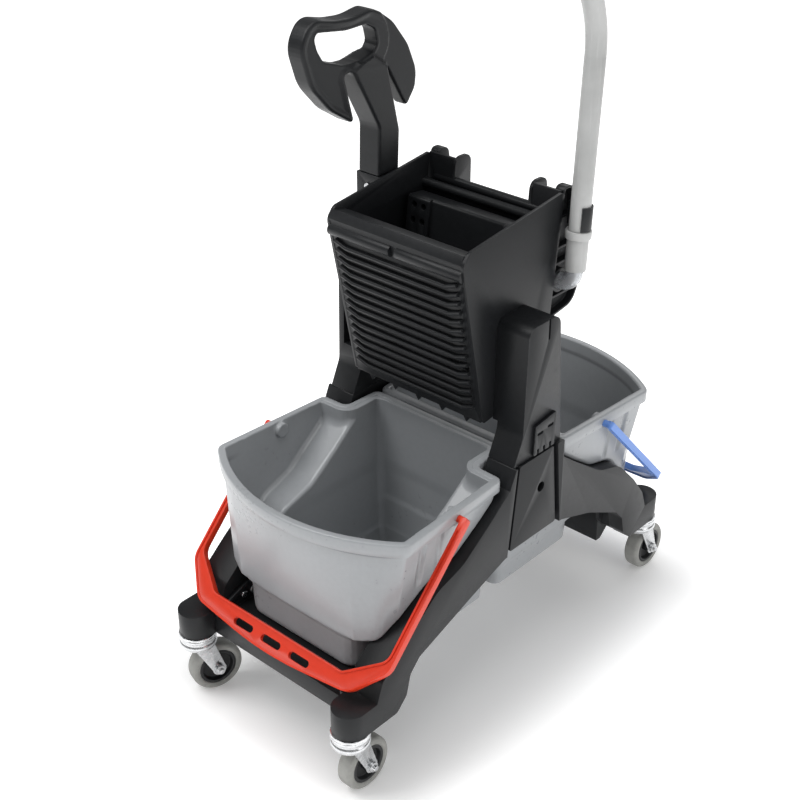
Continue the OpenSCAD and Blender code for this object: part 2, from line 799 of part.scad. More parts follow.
module pressure_plate() {
    hub_r = shaft_d / 2 + 6;
    top = plate_top_h - shaft_at_h;
    block_w = 38;
    color(BLACK)
        on_deck()
            translate([0, shaft_y, shaft_at_h])
                rotate([-plate_lean, 0, 0])
                    difference() {
                        union() {
                            bar_x(-plate_half_w, plate_half_w, 0, 0, hub_r);
                            extrude_x(-plate_half_w, plate_half_w)
                                polygon(rounded([[-plate_t / 2, 0, 0], [plate_t / 2, 0, 0],
                                    [plate_t / 2, top - 6, 3], [plate_t / 2 + 18, top - 4, 2],
                                    [plate_t / 2 + 18, top, 2], [-plate_t / 2, top, 4]]));
                            for (s = [-1, 1])
                                side(s)
                                    extrude_x(plate_half_w - block_w, plate_half_w)
                                        polygon(rounded([[-plate_t / 2 - 5, top * 0.3, 3], [0, top * 0.3, 0],
                                            [0, top, 0], [-plate_t / 2 - 5, top, 4]]));
                        }
                        bar_x(-plate_half_w - 1, plate_half_w + 1, 0, 0, shaft_d / 2 + run_gap);
                        for (s = [-1, 1], x = [12, 28], z = [12, 33])
                            translate([s * (plate_half_w - x), 0, top - z])
                                rotate([90, 0, 0])
                                    cylinder(h = 4 * plate_t, d = 9, center = true);
                    }
}

// Lever

socket_y0 = shaft_y - socket_w / 2;
socket_y1 = shaft_y + socket_w / 2;
tenon_w = 26;
tenon_h = 34;

module lever_socket() {
    low = leg_top_h + 24;
    blade_y = 20;
    color(BLACK)
        on_deck()
            difference() {
                union() {
                    translate([lever_x - socket_w / 2, socket_y0, low])
                        cube([socket_w, socket_w, socket_top_h - low]);
                    translate([lever_x - blade_w / 2, shaft_y - blade_y, shaft_at_h])
                        cube([blade_w, 2 * blade_y, low - shaft_at_h + 1]);
                    bar_x(lever_x - blade_w / 2, lever_x + blade_w / 2, shaft_y, shaft_at_h, blade_y);
                }
                bar_x(lever_x - blade_w, lever_x + blade_w, shaft_y, shaft_at_h, shaft_d / 2 + run_gap);
                translate([lever_x - tenon_w / 2 - seat_gap, shaft_y - tenon_w / 2 - seat_gap, socket_top_h - tenon_h - 1])
                    cube([tenon_w + 2 * seat_gap, tenon_w + 2 * seat_gap, tenon_h + 2]);
                translate([lever_x, shaft_y, socket_top_h - tenon_h / 2])
                    rotate([90, 0, 0])
                        cylinder(h = 2 * socket_w, d = screw_d + 2 * run_gap, center = true);
            }
}

module lever_screw() {
    color(ZINC)
        on_deck()
            translate([lever_x, shaft_y, socket_top_h - tenon_h / 2])
                rotate([90, 0, 0]) {
                    cylinder(h = socket_w + 2, d = screw_d, center = true);
                    for (s = [-1, 1])
                        translate([0, 0, s * (socket_w / 2 + 1.5)])
                            cylinder(h = 3, d = 2 * screw_d, center = true);
                }
}

// Outlines of the handle are drawn for a loop 230 high and follow its height
function to_loop(pts) = pts * loop_h / 230;

// Outline of the handle's loop, as [y, z, radius], measured from the socket's top
function loop_outline() = to_loop([
    [-28, 80, 4], [-46, 146, 3], [-36, 151, 3], [31, 142, 3], [36, 140, 3], [73, 78, 5], [91, 102, 20],
    [94, 125, 40], [77, 163, 60], [48, 198, 60], [24, 214, 50], [4, 223, 24], [-30, 217.5, 80],
    [-60, 220, 80], [-100, 229, 24], [-122, 196, 34], [-105, 144, 60], [-72, 108, 60]]);

function hand_hole() = to_loop([
    [-95, 204, 8], [-91, 189, 30], [-80, 172, 16], [-46, 161, 40], [-16, 160, 30], [10, 167, 12],
    [17, 176, 10], [12, 196, 12], [-4, 204, 10], [-40, 203, 80], [-90, 210, 6]]);

// Outline of the handle's stem, as [y, z, radius], measured from the shaft and the socket's top
function stem_outline() = [
    [-20, 0, 2], [20, 0, 2], [22, 0.243 * loop_h, 24], [0, 0.635 * loop_h, 0], [-30, 0.73 * loop_h, 0],
    [-64, 0.66 * loop_h, 0], [-18, 0.296 * loop_h, 24]];

module lever_handle() {
    color(BLACK)
        on_deck()
            difference() {
                union() {
                    translate([0, 0, socket_top_h]) {
                        extrude_x(lever_x - loop_t / 2, lever_x + loop_t / 2)
                            polygon(rounded(loop_outline()));
                        translate([0, shaft_y, 0])
                            extrude_x(lever_x - stem_w / 2, lever_x + stem_w / 2)
                                polygon(rounded(stem_outline()));
                    }
                    translate([lever_x - tenon_w / 2, shaft_y - tenon_w / 2, socket_top_h - tenon_h])
                        cube([tenon_w, tenon_w, tenon_h + 1]);
                }
                translate([0, 0, socket_top_h])
                    extrude_x(lever_x - stem_w, lever_x + stem_w)
                        polygon(rounded(hand_hole()));
                translate([lever_x, shaft_y, socket_top_h - tenon_h / 2])
                    rotate([90, 0, 0])
                        cylinder(h = 2 * socket_w, d = screw_d + 2 * run_gap, center = true);
            }
}

// Rear brackets and push tube

bracket_x = hopper_half_w - 2;
bracket_d = 14;

function bracket_outline() = [
    [hopper_back(elbow_h - 51), elbow_h - 51, 0], [elbow_y + 31, elbow_h - 43, 24],
    [elbow_y + 44, elbow_h - 17, 24],
    [hopper_rear_y + 21, hopper_rear_h + 4, 11], [hopper_rear_y + 1, hopper_rear_h + 4, 7],
    [hopper_back(hopper_rear_h - 8), hopper_rear_h - 8, 0]];

module rear_bracket(s) {
    border = 3;
    color(BLACK)
        side(s)
            on_deck()
                difference() {
                    extrude_x(bracket_x - bracket_d, bracket_x)
                        polygon(rounded(bracket_outline()));
                    difference() {
                        extrude_x(bracket_x - bracket_d + border, bracket_x + 1)
                            polygon(rounded(inset(bracket_outline(), border)));
                        for (z = [elbow_h - 22, elbow_h + 24, elbow_h + 46, elbow_h + 88])
                            translate([0, 0, z])
                                cube([bracket_x, 200, border]);
                        bar_x(0, bracket_x, elbow_y, elbow_h, elbow_pipe_r + 5);
                    }
                    bar_x(bracket_x - bracket_d + border, bracket_x + 1, elbow_y, elbow_h, elbow_pipe_r + seat_gap);
                }
}

// Places a piece on the tube's axis, with Z along the tube from the elbow's centre
module on_tube() {
    on_deck()
        translate([0, elbow_y, elbow_h])
            rotate([-tube_lean, 0, 0])
                translate([tube_x, 0, elbow_r])
                    children();
}

cuff_low = 2;
cuff_len = 44;
collar_len = 11;
elbow_up = 20;

module elbow_solid(r) {
    translate([-elbow_r, 0, 0])
        rotate([90, 0, 0])
            rotate_extrude(angle = -90)
                translate([elbow_r, 0])
                    circle(r = r);
    cylinder(h = elbow_up, r = r);
    translate([-elbow_r, 0, -elbow_r])
        rotate([0, -90, 0])
            cylinder(h = tube_x - elbow_r - bracket_x + bracket_d - 3 - seat_gap, r = r);
}

module tube_elbow() {
    color(CLEAR)
        on_tube()
            difference() {
                elbow_solid(elbow_pipe_r);
                elbow_solid(elbow_pipe_r - 2.5);
                translate([0, 0, elbow_up - 1])
                    cylinder(h = 2, r = elbow_pipe_r - 2.5);
            }
}

module tube_cuff() {
    color(TUBE)
        on_tube()
            translate([0, 0, cuff_low])
                difference() {
                    cylinder(h = cuff_len, r = cuff_r);
                    translate([0, 0, -1])
                        cylinder(h = elbow_up - cuff_low + 1, r = elbow_pipe_r);
                    translate([0, 0, elbow_up - cuff_low])
                        cylinder(h = cuff_len, r = tube_r);
                }
}

module tube_collar() {
    color(TUBE)
        on_tube()
            translate([0, 0, cuff_low + cuff_len])
                difference() {
                    cylinder(h = collar_len, r = cuff_r + 3);
                    translate([0, 0, -1])
                        cylinder(h = collar_len + 2, r = tube_r);
                }
}

// Bend of the push tube, filled with a rod of radius r
module tube_bend_rod(r) {
    translate([0, -tube_bend_r, tube_len])
        rotate([90, 0, 90])
            rotate_extrude(angle = tube_bend)
                translate([tube_bend_r, 0])
                    circle(r = r);
}

// Places a piece at the end of the bend, with Z along the grip
module at_grip() {
    translate([0, -tube_bend_r, tube_len])
        rotate([tube_bend, 0, 0])
            translate([0, tube_bend_r, 0])
                children();
}

module push_tube() {
    bore_r = tube_r - tube_t;
    // The tube draws in a little where it is bent
    bend_draw = 0.1;
    color(TUBE)
        on_tube()
            difference() {
                union() {
                    translate([0, 0, elbow_up])
                        cylinder(h = tube_len - elbow_up, r = tube_r);
                    tube_bend_rod(tube_r - bend_draw);
                    at_grip()
                        cylinder(h = grip_len, r = tube_r);
                }
                translate([0, 0, elbow_up - 1])
                    cylinder(h = tube_len - elbow_up + 2, r = bore_r);
                tube_bend_rod(bore_r - 5 * bend_draw);
                at_grip()
                    translate([0, 0, -1])
                        cylinder(h = grip_len + 2, r = bore_r);
            }
}

module tube_end_cap() {
    color(BLACK)
        on_tube()
            at_grip()
                translate([0, 0, grip_len]) {
                    rotate_extrude()
                        polygon(rounded([[0, 0, 0], [tube_r, 0, 1], [tube_r, 10, 6], [0, 12, 0]]));
                    translate([0, 0, -16])
                        cylinder(h = 17, r = tube_r - tube_t - run_gap);
                }
}

module tube_clip() {
    clip_low = cuff_low + cuff_len + collar_len + 1;
    clip_len = 32;
    clip_wall = 2.5;
    reach = 3 * tube_r;
    color(BLACK)
        on_tube()
            translate([0, 0, clip_low])
                difference() {
                    union() {
                        cylinder(h = clip_len, r = tube_r + clip_wall);
                        translate([bracket_x - tube_x, 3, 0])
                            cube([tube_x - bracket_x, 7, clip_len]);
                    }
                    translate([0, 0, -1])
                        cylinder(h = clip_len + 2, r = tube_r + run_gap);
                    // Mouth of the clip, where the tube snaps in
                    translate([0, 0, -1])
                        linear_extrude(clip_len + 2)
                            polygon([[0, 0], reach * [cos(185), sin(185)], reach * [cos(248), sin(248)],
                                reach * [cos(312), sin(312)]]);
                }
}

// Buckets

// Right half of an outline from the outer end's middle to the inner end: the bowed
// outer edge in steps, its corner, the wing's inner corner, the notch and the inner corner
function bucket_half(front, bow, steps, corner, wing, notch, neck) =
    let (reach = front[0], span = (reach * reach + bow * bow) / (2 * bow), a = asin(reach / span))
    concat(
        [for (i = [0:5]) let (t = a * i / steps)
            [span * sin(t), -front[1] - bow + span * (1 - cos(t)), 0]],
        [[corner[0], -corner[1], 16], [wing[0], -wing[1], 9], [notch[0], -notch[1], 9], [neck[0], -neck[1], 12]]);

function both_halves(half) = concat(
    [for (i = [len(half) - 1:-1:1]) [-half[i][0], half[i][1], half[i][2]]], half);

wing_y = saddle_y + 7;

// Outline of the rim, with its inner end moved in by d
function rim_outline(d = 0) = both_halves(bucket_half(
    [rim_half_w, rim_corner_y], rim_bow, 6, [rim_half_w, rim_corner_y], [rim_half_w - 9, wing_y],
    [neck_half_w + 2, wing_y - 2], [neck_half_w, rim_in_y + d]));

// Outline of the upper body at the shoulder, with its inner end moved in by d
function shoulder_outline(d = 0) = both_halves(bucket_half(
    [foot_half_w + 4, foot_out_y + 4.5], 3, 5, [rim_half_w - 34, foot_out_y - 9], [rim_half_w - 22, wing_y + rim_out],
    [neck_half_w - rim_out + 2, wing_y - 2 + rim_out], [neck_half_w - rim_out, rim_in_y + rim_out + d]));

function foot_outline(half_w, out_y, in_y) = [
    [-half_w, -out_y, 24], [half_w, -out_y, 24], [half_w, -in_y, 14], [-half_w, -in_y, 14]];

// Outer face of the bucket's side wall beside the bail pivots, and the bail pins' inner ends
pivot_wall_x = rim_half_w - rim_out - 9 * (rim_corner_y - pivot_y) / (rim_corner_y - wing_y);
pin_end_x = pivot_wall_x - bucket_t - 2;

// The well's outer edge, clear of the shelf while the bucket is lifted out
lift_angle = 42;
lift_gap = 6;
well_out_y = shelf_in_y - (seat_h - bucket_base_h) / tan(lift_angle) - lift_gap;

// The bucket's outside, or its inside when wall is the thickness of its walls
module bucket_form(e, wall) {
    wing_gap = seat_gap + 0.1;
    over = wall > 0 ? 1 : -1;
    // The upper body ends inside the lower one, between the columns
    end_in = 6;
    difference() {
        loft(rounded(inset(shoulder_outline(end_in), wall), 4), shoulder_h + wall,
            rounded(inset(rim_outline(end_in), rim_out + wall), 4), rim_h + over);
        for (s = [-1, 1])
            side(s)
                translate([0, 0, wall])
                    extrude_x(foot_half_w - 4, rim_half_w + 10)
                        polygon(concat([[-axis_y(e) - 30, -20], [0, -20], [0, rim_h + 20]],
                            [[-saddle_y - wing_gap, rim_h + 20]],
                            rounded(concat([[-saddle_y - wing_gap - wall, rim_h + 20, 0]],
                                [for (p = frame_top(e, wing_gap)) [-p[0], p[1], p[2]]],
                                [[-axis_y(e) - 30, boss_h + wing_gap, 0]]))));
    }
    // The well hangs between the frames, inside the shelf's edge
    loft(rounded(inset(foot_outline(foot_half_w - 3, well_out_y, rim_in_y + rim_out + 3), wall), 5),
        bucket_base_h + wall,
        rounded(inset(foot_outline(foot_half_w - 1, well_out_y + 2, rim_in_y + rim_out + 2.5), wall), 5),
        seat_h + 20 + over);
    loft(rounded(inset(foot_outline(foot_half_w, foot_out_y, rim_in_y + rim_out + 2), wall), 5), seat_h + wall,
        rounded(inset(foot_outline(neck_half_w - rim_out, foot_out_y + 8, rim_in_y + rim_out), wall), 5),
        rim_h + 2 * over);
}

module bucket(e) {
    rib_ys = [-166, -200, -238];
    rib_t = 20;
    wall_x = rim_half_w - rim_out - bucket_t;
    boss_r = pin_r + 5;
    color(GREY)
        end(e)
            on_deck()
                difference() {
                    union() {
                        bucket_form(e, 0);
                        // Rolled rim: a flat top and a skirt
                        translate([0, 0, rim_h - 4])
                            linear_extrude(4)
                                polygon(rounded(rim_outline(), 4));
                        translate([0, 0, rim_h - rim_skirt])
                            linear_extrude(rim_skirt - 1)
                                difference() {
                                    polygon(rounded(rim_outline(), 4));
                                    polygon(rounded(inset(rim_outline(), bucket_t), 4));
                                }
                        for (s = [-1, 1])
                            side(s) {
                                bar_x(pin_end_x - 4, rim_half_w, -pivot_y, pivot_h, boss_r);
                                for (y = rib_ys)
                                    translate([wall_x - 16, y - rib_t / 2, rim_h - 64])
                                        cube([19, rib_t, 60]);
                            }
                    }
                    bucket_form(e, bucket_t);
                    for (s = [-1, 1])
                        side(s)
                            bar_x(pin_end_x - 10, rim_half_w + 1, -pivot_y, pivot_h, pin_r + run_gap);
                }
}

// Bails

// Angle below level at which a bail hangs
bail_rest = atan((pivot_h - arm_h) / (axis_y(-1) - arm_in - pivot_y)) - bail_drop;

// Outer and inner outlines of a bail in its own plane, as [x, reach, radius]
function bail_outer() = [
    [bail_out_x, 0, 0], [bail_out_x, bail_reach - 61, 24], [bail_out_x - 41, bail_reach - 13.5, 30],
    [0, bail_reach + 1.5, 600],
    [-bail_out_x + 41, bail_reach - 13.5, 30], [-bail_out_x, bail_reach - 61, 24], [-bail_out_x, 0, 0]];

function bail_inner() = [
    [bail_in_x, -20, 0], [bail_in_x, bail_reach - bail_grip_w - 40, 20],
    [bail_in_x - 53, bail_reach - bail_grip_w, 14], [-bail_in_x + 53, bail_reach - bail_grip_w, 14],
    [-bail_in_x, bail_reach - bail_grip_w - 40, 20], [-bail_in_x, -20, 0]];

// Band of a bail between its raised borders
module bail_channel() {
    border = 2.8;
    clear_u = 14;
    difference() {
        polygon(rounded(inset(bail_outer(), border)));
        polygon(rounded(inset(bail_inner(), -border)));
        translate([-bail_out_x, -clear_u])
            square([2 * bail_out_x, 2 * clear_u]);
    }
}

module bail(e, colour) {
    arm_x = (bail_in_x + bail_out_x) / 2;
    slot_l = 36;
    slot_pitch = 52;
    slot_h = 10;
    channel = 2;
    color(colour)
        end(e)
            on_deck()
                translate([0, -pivot_y, pivot_h])
                    rotate([180 + bail_rest, 0, 0])
                        difference() {
                            union() {
                                translate([0, 0, -bail_t / 2])
                                    linear_extrude(bail_t)
                                        difference() {
                                            union() {
                                                polygon(rounded(bail_outer()));
                                                for (s = [-1, 1])
                                                    translate([s * arm_x, 0])
                                                        circle(d = bail_arm_w);
                                            }
                                            polygon(rounded(bail_inner()));
                                        }
                                for (s = [-1, 1])
                                    side(s)
                                        bar_x(pin_end_x, arm_x, 0, 0, pin_r);
                            }
                            // Grip slots
                            for (i = [-1:1])
                                translate([i * slot_pitch, bail_reach - bail_grip_w / 2, -bail_t]) {
                                    translate([-slot_l / 2 + slot_h / 2, -slot_h / 2, 0])
                                        cube([slot_l - slot_h, slot_h, 2 * bail_t]);
                                    for (s = [-1, 1])
                                        translate([s * (slot_l - slot_h) / 2, 0, 0])
                                            cylinder(h = 2 * bail_t, d = slot_h);
                                }
                            // Channels on both faces
                            for (f = [-1, 1])
                                translate([0, 0, f * bail_t / 2 - channel])
                                    linear_extrude(2 * channel)
                                        bail_channel();
                        }
}

side_frame(-1);  // side_frame_left
side_frame(1);  // side_frame_right
shelf(-1);  // shelf_front
shelf(1);  // shelf_rear
centre_web();
frame_screws();
column_cover(-1);  // column_cover_left
column_cover(1);  // column_cover_right
press_leg_left();
press_leg_right();
clip_plate(-1);  // clip_plate_left
clip_plate(1);  // clip_plate_right
press_hopper();
drain_grate();
shaft_bushes();
rear_bracket(-1);  // rear_bracket_left
rear_bracket(1);  // rear_bracket_right
tube_elbow();
tube_cuff();
tube_collar();
push_tube();
tube_clip();
tube_end_cap();
castor_stems();
castor_cups();
lever_handle();
lever_socket();
lever_screw();
lever_shaft();
pressure_plate();
bucket(-1);  // bucket_front
bail(-1, RED);  // bail_front
bucket(1);  // bucket_rear
bail(1, BLUE);  // bail_rear
for (c = CORNERS) {
    castor_fork(c);
    castor_axle(c);
    castor_hub(c);
    castor_tyre(c);
}
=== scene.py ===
import json
import math

import bmesh
import bpy
import numpy as np
from mathutils import Matrix, Vector

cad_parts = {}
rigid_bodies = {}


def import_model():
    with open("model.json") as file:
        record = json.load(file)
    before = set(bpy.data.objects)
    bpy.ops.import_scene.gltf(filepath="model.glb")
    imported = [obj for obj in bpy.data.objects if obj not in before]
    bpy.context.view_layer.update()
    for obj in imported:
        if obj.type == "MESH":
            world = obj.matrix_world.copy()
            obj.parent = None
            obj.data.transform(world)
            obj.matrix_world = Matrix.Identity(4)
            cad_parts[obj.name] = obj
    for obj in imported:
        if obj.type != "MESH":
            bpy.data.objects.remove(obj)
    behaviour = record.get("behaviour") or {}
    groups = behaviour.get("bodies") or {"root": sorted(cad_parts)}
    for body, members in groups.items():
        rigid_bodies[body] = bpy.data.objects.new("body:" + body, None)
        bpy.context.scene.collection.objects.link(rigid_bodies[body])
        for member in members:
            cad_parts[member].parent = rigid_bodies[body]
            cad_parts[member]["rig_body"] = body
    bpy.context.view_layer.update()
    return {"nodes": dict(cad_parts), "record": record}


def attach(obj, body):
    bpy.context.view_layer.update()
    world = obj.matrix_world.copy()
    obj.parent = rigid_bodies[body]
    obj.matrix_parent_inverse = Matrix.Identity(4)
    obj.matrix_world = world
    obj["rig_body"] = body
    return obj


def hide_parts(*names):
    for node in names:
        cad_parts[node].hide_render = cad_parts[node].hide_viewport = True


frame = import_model()
nodes = frame["nodes"]

# Sizes of the part in millimetres; heights are measured from the deck unless a name says otherwise
MM = 0.001
DECK_Z = 97.0
CASTOR_Y = 322.0
CASTOR_SHIFT = 15.0
SADDLE_Y = 58.0
RIM_HALF_W = 171.0
RIM_H = 259.0
RIM_CORNER_Y = 257.0
RIM_BOW = 62.0
NECK_HALF_W = 117.0
RIM_IN_Y = 2.0
RIM_OUT = 8.0
RIM_SKIRT = 18.0
SHOULDER_H = 91.0
FOOT_HALF_W = 101.0
FOOT_OUT_Y = 281.0
BUCKET_BASE_H = 8.0
SEAT_H = 37.0
SHELF_IN_Y = 230.0
LIFT_ANGLE = 42.0
LIFT_GAP = 6.0
WELL_OUT_Y = SHELF_IN_Y - (SEAT_H - BUCKET_BASE_H) / math.tan(math.radians(LIFT_ANGLE)) - LIFT_GAP
BUCKET_WALL = 5.6
WALL_GAIN = 1.8
WALL_GAIN_H = 140.0
WALL_GAIN_RUN = 25.0
SHELL_BELOW_RIM = 0.8
FLUTES = (183.0, 217.0)
FLUTE_HALF_W = 7.0
FLUTE_EDGE = 5.0
FLUTE_FROM_H = 165.0
FLUTE_RUN = 14.0
FLUTE_DEPTH = 3.2
FLUTE_FROM_X = 120.0
WING_Y = SADDLE_Y + 7
PIVOT_Y = 157.0
PIVOT_H = 246.0
PIN_R = 5.0
PIN_GAP = 0.5
BOSS_R = 10.5
BOSS_X = 157.0
BOSS_HALF_T = 8.6
BOSS_EDGE_R = 1.5
BOSS_CAP_X = 152.6
HOPPER_HALF_W = 114.0
HOPPER_BASE_H = 314.0
HOPPER_BASE_Y = 48.0
HOPPER_FRONT_H = 552.0
HOPPER_FRONT_Y = 97.0
RIB_COUNT = 15
RIB_R = 2.8
RIB_OUT = 3.1
RIB_BEND_R = 9.0
SHAFT_Y = 29.0
SOCKET_TOP_H = 575.0
LEVER_X = -139.5
LOOP_T = 28.0
STEM_W = 38.0


# Finishes

class Value:
    """A socket of a finish; arithmetic on it adds the maths nodes."""

    def __init__(self, finish, socket):
        self.finish = finish
        self.socket = socket

    def maths(self, operation, *operands):
        return self.finish.add("ShaderNodeMath", {"operation": operation}, dict(enumerate(operands)))

    def __add__(self, other):
        return self.maths("ADD", self, other)

    def __radd__(self, other):
        return self.maths("ADD", other, self)

    def __sub__(self, other):
        return self.maths("SUBTRACT", self, other)

    def __mul__(self, other):
        return self.maths("MULTIPLY", self, other)

    def __pow__(self, other):
        return self.maths("POWER", self, other)

    def within(self, low, high):
        """0 below low, 1 above high, smooth between them."""
        return self.finish.add(
            "ShaderNodeMapRange", {"interpolation_type": "SMOOTHSTEP"},
            {"Value": self, "From Min": low, "From Max": high})


class Finish:
    """A material with one principled shader, whose varying inputs are fed by nodes."""

    def __init__(self, name, **constants):
        self.material = bpy.data.materials.new(name)
        self.material.use_nodes = True
        self.tree = self.material.node_tree
        self.tree.nodes.clear()
        self.shader = self.tree.nodes.new("ShaderNodeBsdfPrincipled")
        out = self.tree.nodes.new("ShaderNodeOutputMaterial")
        self.tree.links.new(self.shader.outputs["BSDF"], out.inputs["Surface"])
        for socket, value in constants.items():
            self.shader.inputs[socket.replace("_", " ")].default_value = value
        self.place = self.add("ShaderNodeTexCoord", output="Object")

    def add(self, kind, settings=None, inputs=None, output=0):
        node = self.tree.nodes.new(kind)
        for key, value in (settings or {}).items():
            setattr(node, key, value)
        for key, value in (inputs or {}).items():
            self.join(node.inputs[key], value)
        return Value(self, node.outputs[output])

    def join(self, socket, value):
        if isinstance(value, Value):
            self.tree.links.new(value.socket, socket)
        else:
            socket.default_value = value

    def feed(self, **sockets):
        for name, value in sockets.items():
            self.join(self.shader.inputs[name.replace("_", " ")], value)

    def noise(self, scale, detail=3.0, rough=0.55):
        return self.add("ShaderNodeTexNoise", None,
                        {"Vector": self.place, "Scale": scale, "Detail": detail, "Roughness": rough})

    def stretched(self, scale):
        """The place with each axis scaled by itself, for grain that runs one way."""
        return self.add("ShaderNodeMapping", None, {"Vector": self.place, "Scale": scale})

    def mix(self, factor, first, second):
        return self.add("ShaderNodeMix", {"data_type": "RGBA", "blend_type": "MIX"},
                        {0: factor, 6: first, 7: second}, output=2)

    def bump(self, height, distance):
        return self.add("ShaderNodeBump", None, {"Strength": 1.0, "Distance": distance, "Height": height})

    def attribute(self, name):
        return self.add("ShaderNodeAttribute", {"attribute_name": name}, output="Fac")


def shade(colour, factor):
    """A colour made darker or paler, with full opacity."""
    return (*(min(1.0, channel * factor) for channel in colour), 1.0)


def moulded(name, colour, rough, worn, grain_scale=900.0, grain=0.00006, sheen=0.0, drift=0.10, gloss=0.5,
            marks=0.05):
    """Moulded plastic: a fine grain, slow drift of tone, dull and shiny patches, paler rubbed edges, painted
    shade.
    """
    finish = Finish(name, Coat_Roughness=0.25, Coat_Weight=sheen, Specular_IOR_Level=gloss)
    cloud = finish.noise(7.0, 4.0)
    speck = finish.noise(140.0, 3.0)
    fine = finish.noise(grain_scale, 2.0, 0.6)
    scuff = finish.noise(38.0, 6.0, 0.7).within(0.56, 0.72)
    edge = finish.attribute("edge_wear")
    tone = cloud * 0.65 + speck * 0.35
    base = finish.mix(tone.within(0.30, 0.70), shade(colour, 1.0 - drift), shade(colour, 1.0 + drift))
    rubbed = edge * (speck.within(0.35, 0.62) * 0.55 + 0.2)
    base = finish.mix(rubbed, base, (*worn, 1.0))
    # Painted shade: base colour darkened where the bucket shell marks the shadow under its rim's skirt
    base = finish.mix(finish.attribute("painted_skirt_shade") * 0.6, base, shade(colour, 0.22))
    finish.feed(
        Base_Color=base,
        Roughness=rough + (cloud - 0.5) * 0.12 + (speck - 0.5) * 0.10 + scuff * marks - edge * 0.05,
        Normal=finish.bump(fine * 0.7 + speck * 0.6, grain))
    return finish.material


def zinc_plate():
    """Bright zinc on pressed steel: faint crystal patches, fine rolling lines and dull specks."""
    finish = Finish("bright_zinc", Metallic=1.0)
    crystal = finish.add("ShaderNodeTexVoronoi", None,
                         {"Vector": finish.place, "Scale": 230.0}, output="Color")
    crystal = finish.add("ShaderNodeSeparateColor", None, {0: crystal})
    lines = finish.add("ShaderNodeTexNoise", None,
                       {"Vector": finish.stretched((2400.0, 2400.0, 90.0)), "Scale": 1.0, "Detail": 2.0})
    dull = finish.noise(60.0, 4.0).within(0.5, 0.72)
    edge = finish.attribute("edge_wear")
    base = finish.mix(crystal * 0.6 + lines * 0.4, (0.50, 0.51, 0.52, 1), (0.74, 0.75, 0.76, 1))
    base = finish.mix(edge * 0.5, base, (0.85, 0.86, 0.87, 1))
    finish.feed(Base_Color=base, Roughness=0.19 + crystal * 0.07 + dull * 0.16 + lines * 0.04,
                Normal=finish.bump(lines * 0.5 + dull * 0.5, 0.00003))
    return finish.material


def tyre_rubber():
    """Grey rubber: a matt tread with dust in it and faint mould lines."""
    finish = Finish("grey_tyre_rubber", Specular_IOR_Level=0.35)
    dust = finish.noise(45.0, 5.0, 0.65)
    fine = finish.noise(1300.0, 2.0)
    smear = finish.noise(16.0, 4.0).within(0.45, 0.7)
    edge = finish.attribute("edge_wear")
    base = finish.mix(dust.within(0.3, 0.7), (0.255, 0.255, 0.24, 1), (0.37, 0.37, 0.35, 1))
    base = finish.mix(smear * 0.35 + edge * 0.1, base, (0.44, 0.44, 0.42, 1))
    finish.feed(Base_Color=base, Roughness=0.62 + dust * 0.2, Normal=finish.bump(fine + dust * 0.4, 0.00008))
    return finish.material


def tube_coating():
    """Light grey enamel on a steel tube: a faint orange-peel, with lines where hands rub along it."""
    finish = Finish("light_grey_enamel", Coat_Weight=0.15, Coat_Roughness=0.2)
    peel = finish.noise(420.0, 2.0)
    cloud = finish.noise(11.0, 4.0)
    rub = finish.add("ShaderNodeTexNoise", None,
                     {"Vector": finish.stretched((260.0, 260.0, 9.0)), "Scale": 1.0, "Detail": 3.0})
    base = finish.mix(cloud.within(0.3, 0.7), (0.40, 0.405, 0.40, 1), (0.50, 0.505, 0.50, 1))
    base = finish.mix(rub.within(0.56, 0.74) * 0.3, base, (0.58, 0.58, 0.575, 1))
    finish.feed(Base_Color=base, Roughness=0.36 + (peel - 0.5) * 0.1 + rub * 0.12,
                Normal=finish.bump(peel, 0.00007))
    return finish.material


def clear_moulding():
    """Clear moulded plastic: slightly smoky, with flow marks and a few dull scratches."""
    finish = Finish("clear_smoky_plastic", Transmission_Weight=0.72, IOR=1.47,
                    Coat_Weight=0.4, Coat_Roughness=0.03)
    flow = finish.noise(30.0, 4.0)
    scratch = finish.add("ShaderNodeTexNoise", None,
                         {"Vector": finish.stretched((900.0, 60.0, 60.0)), "Scale": 1.0, "Detail": 2.0})
    base = finish.mix(flow.within(0.35, 0.65), (0.78, 0.80, 0.83, 1), (0.92, 0.93, 0.95, 1))
    finish.feed(Base_Color=base, Roughness=0.05 + scratch.within(0.62, 0.75) * 0.15 + flow * 0.05,
                Normal=finish.bump(flow, 0.0005))
    return finish.material


FINISHES = {
    "black_plastic": moulded("black_satin_plastic", (0.0115, 0.0124, 0.0138), 0.38, (0.062, 0.065, 0.069),
                             grain_scale=1100.0, grain=0.00009, drift=0.16, gloss=0.26),
    "bucket_grey": moulded("grey_bucket_plastic", (0.338, 0.352, 0.366), 0.30, (0.50, 0.515, 0.53),
                           grain_scale=600.0, grain=0.00003, sheen=0.12, drift=0.05, marks=0.0),
    "red_plastic": moulded("red_bail_plastic", (0.72, 0.036, 0.008), 0.38, (0.78, 0.08, 0.03),
                           grain_scale=700.0, grain=0.00004, sheen=0.05, drift=0.06),
    "blue_plastic": moulded("blue_bail_plastic", (0.13, 0.28, 0.72), 0.33, (0.30, 0.44, 0.80),
                            grain_scale=700.0, grain=0.00004, sheen=0.1, drift=0.06),
    "zinc_steel": zinc_plate(),
    "hub_black": moulded("black_hub_plastic", (0.0120, 0.0126, 0.0138), 0.44, (0.05, 0.052, 0.055),
                         grain_scale=1500.0, grain=0.00007, drift=0.18, gloss=0.35),
    "grey_rubber": tyre_rubber(),
    "tube_grey": tube_coating(),
    "clear_plastic": clear_moulding(),
    "nylon": moulded("natural_nylon", (0.66, 0.66, 0.62), 0.42, (0.74, 0.74, 0.71), drift=0.05),
}
SLOT_OF = {row["node"]: row["material_slot"] for row in frame["record"]["subparts"]}


# Meshes

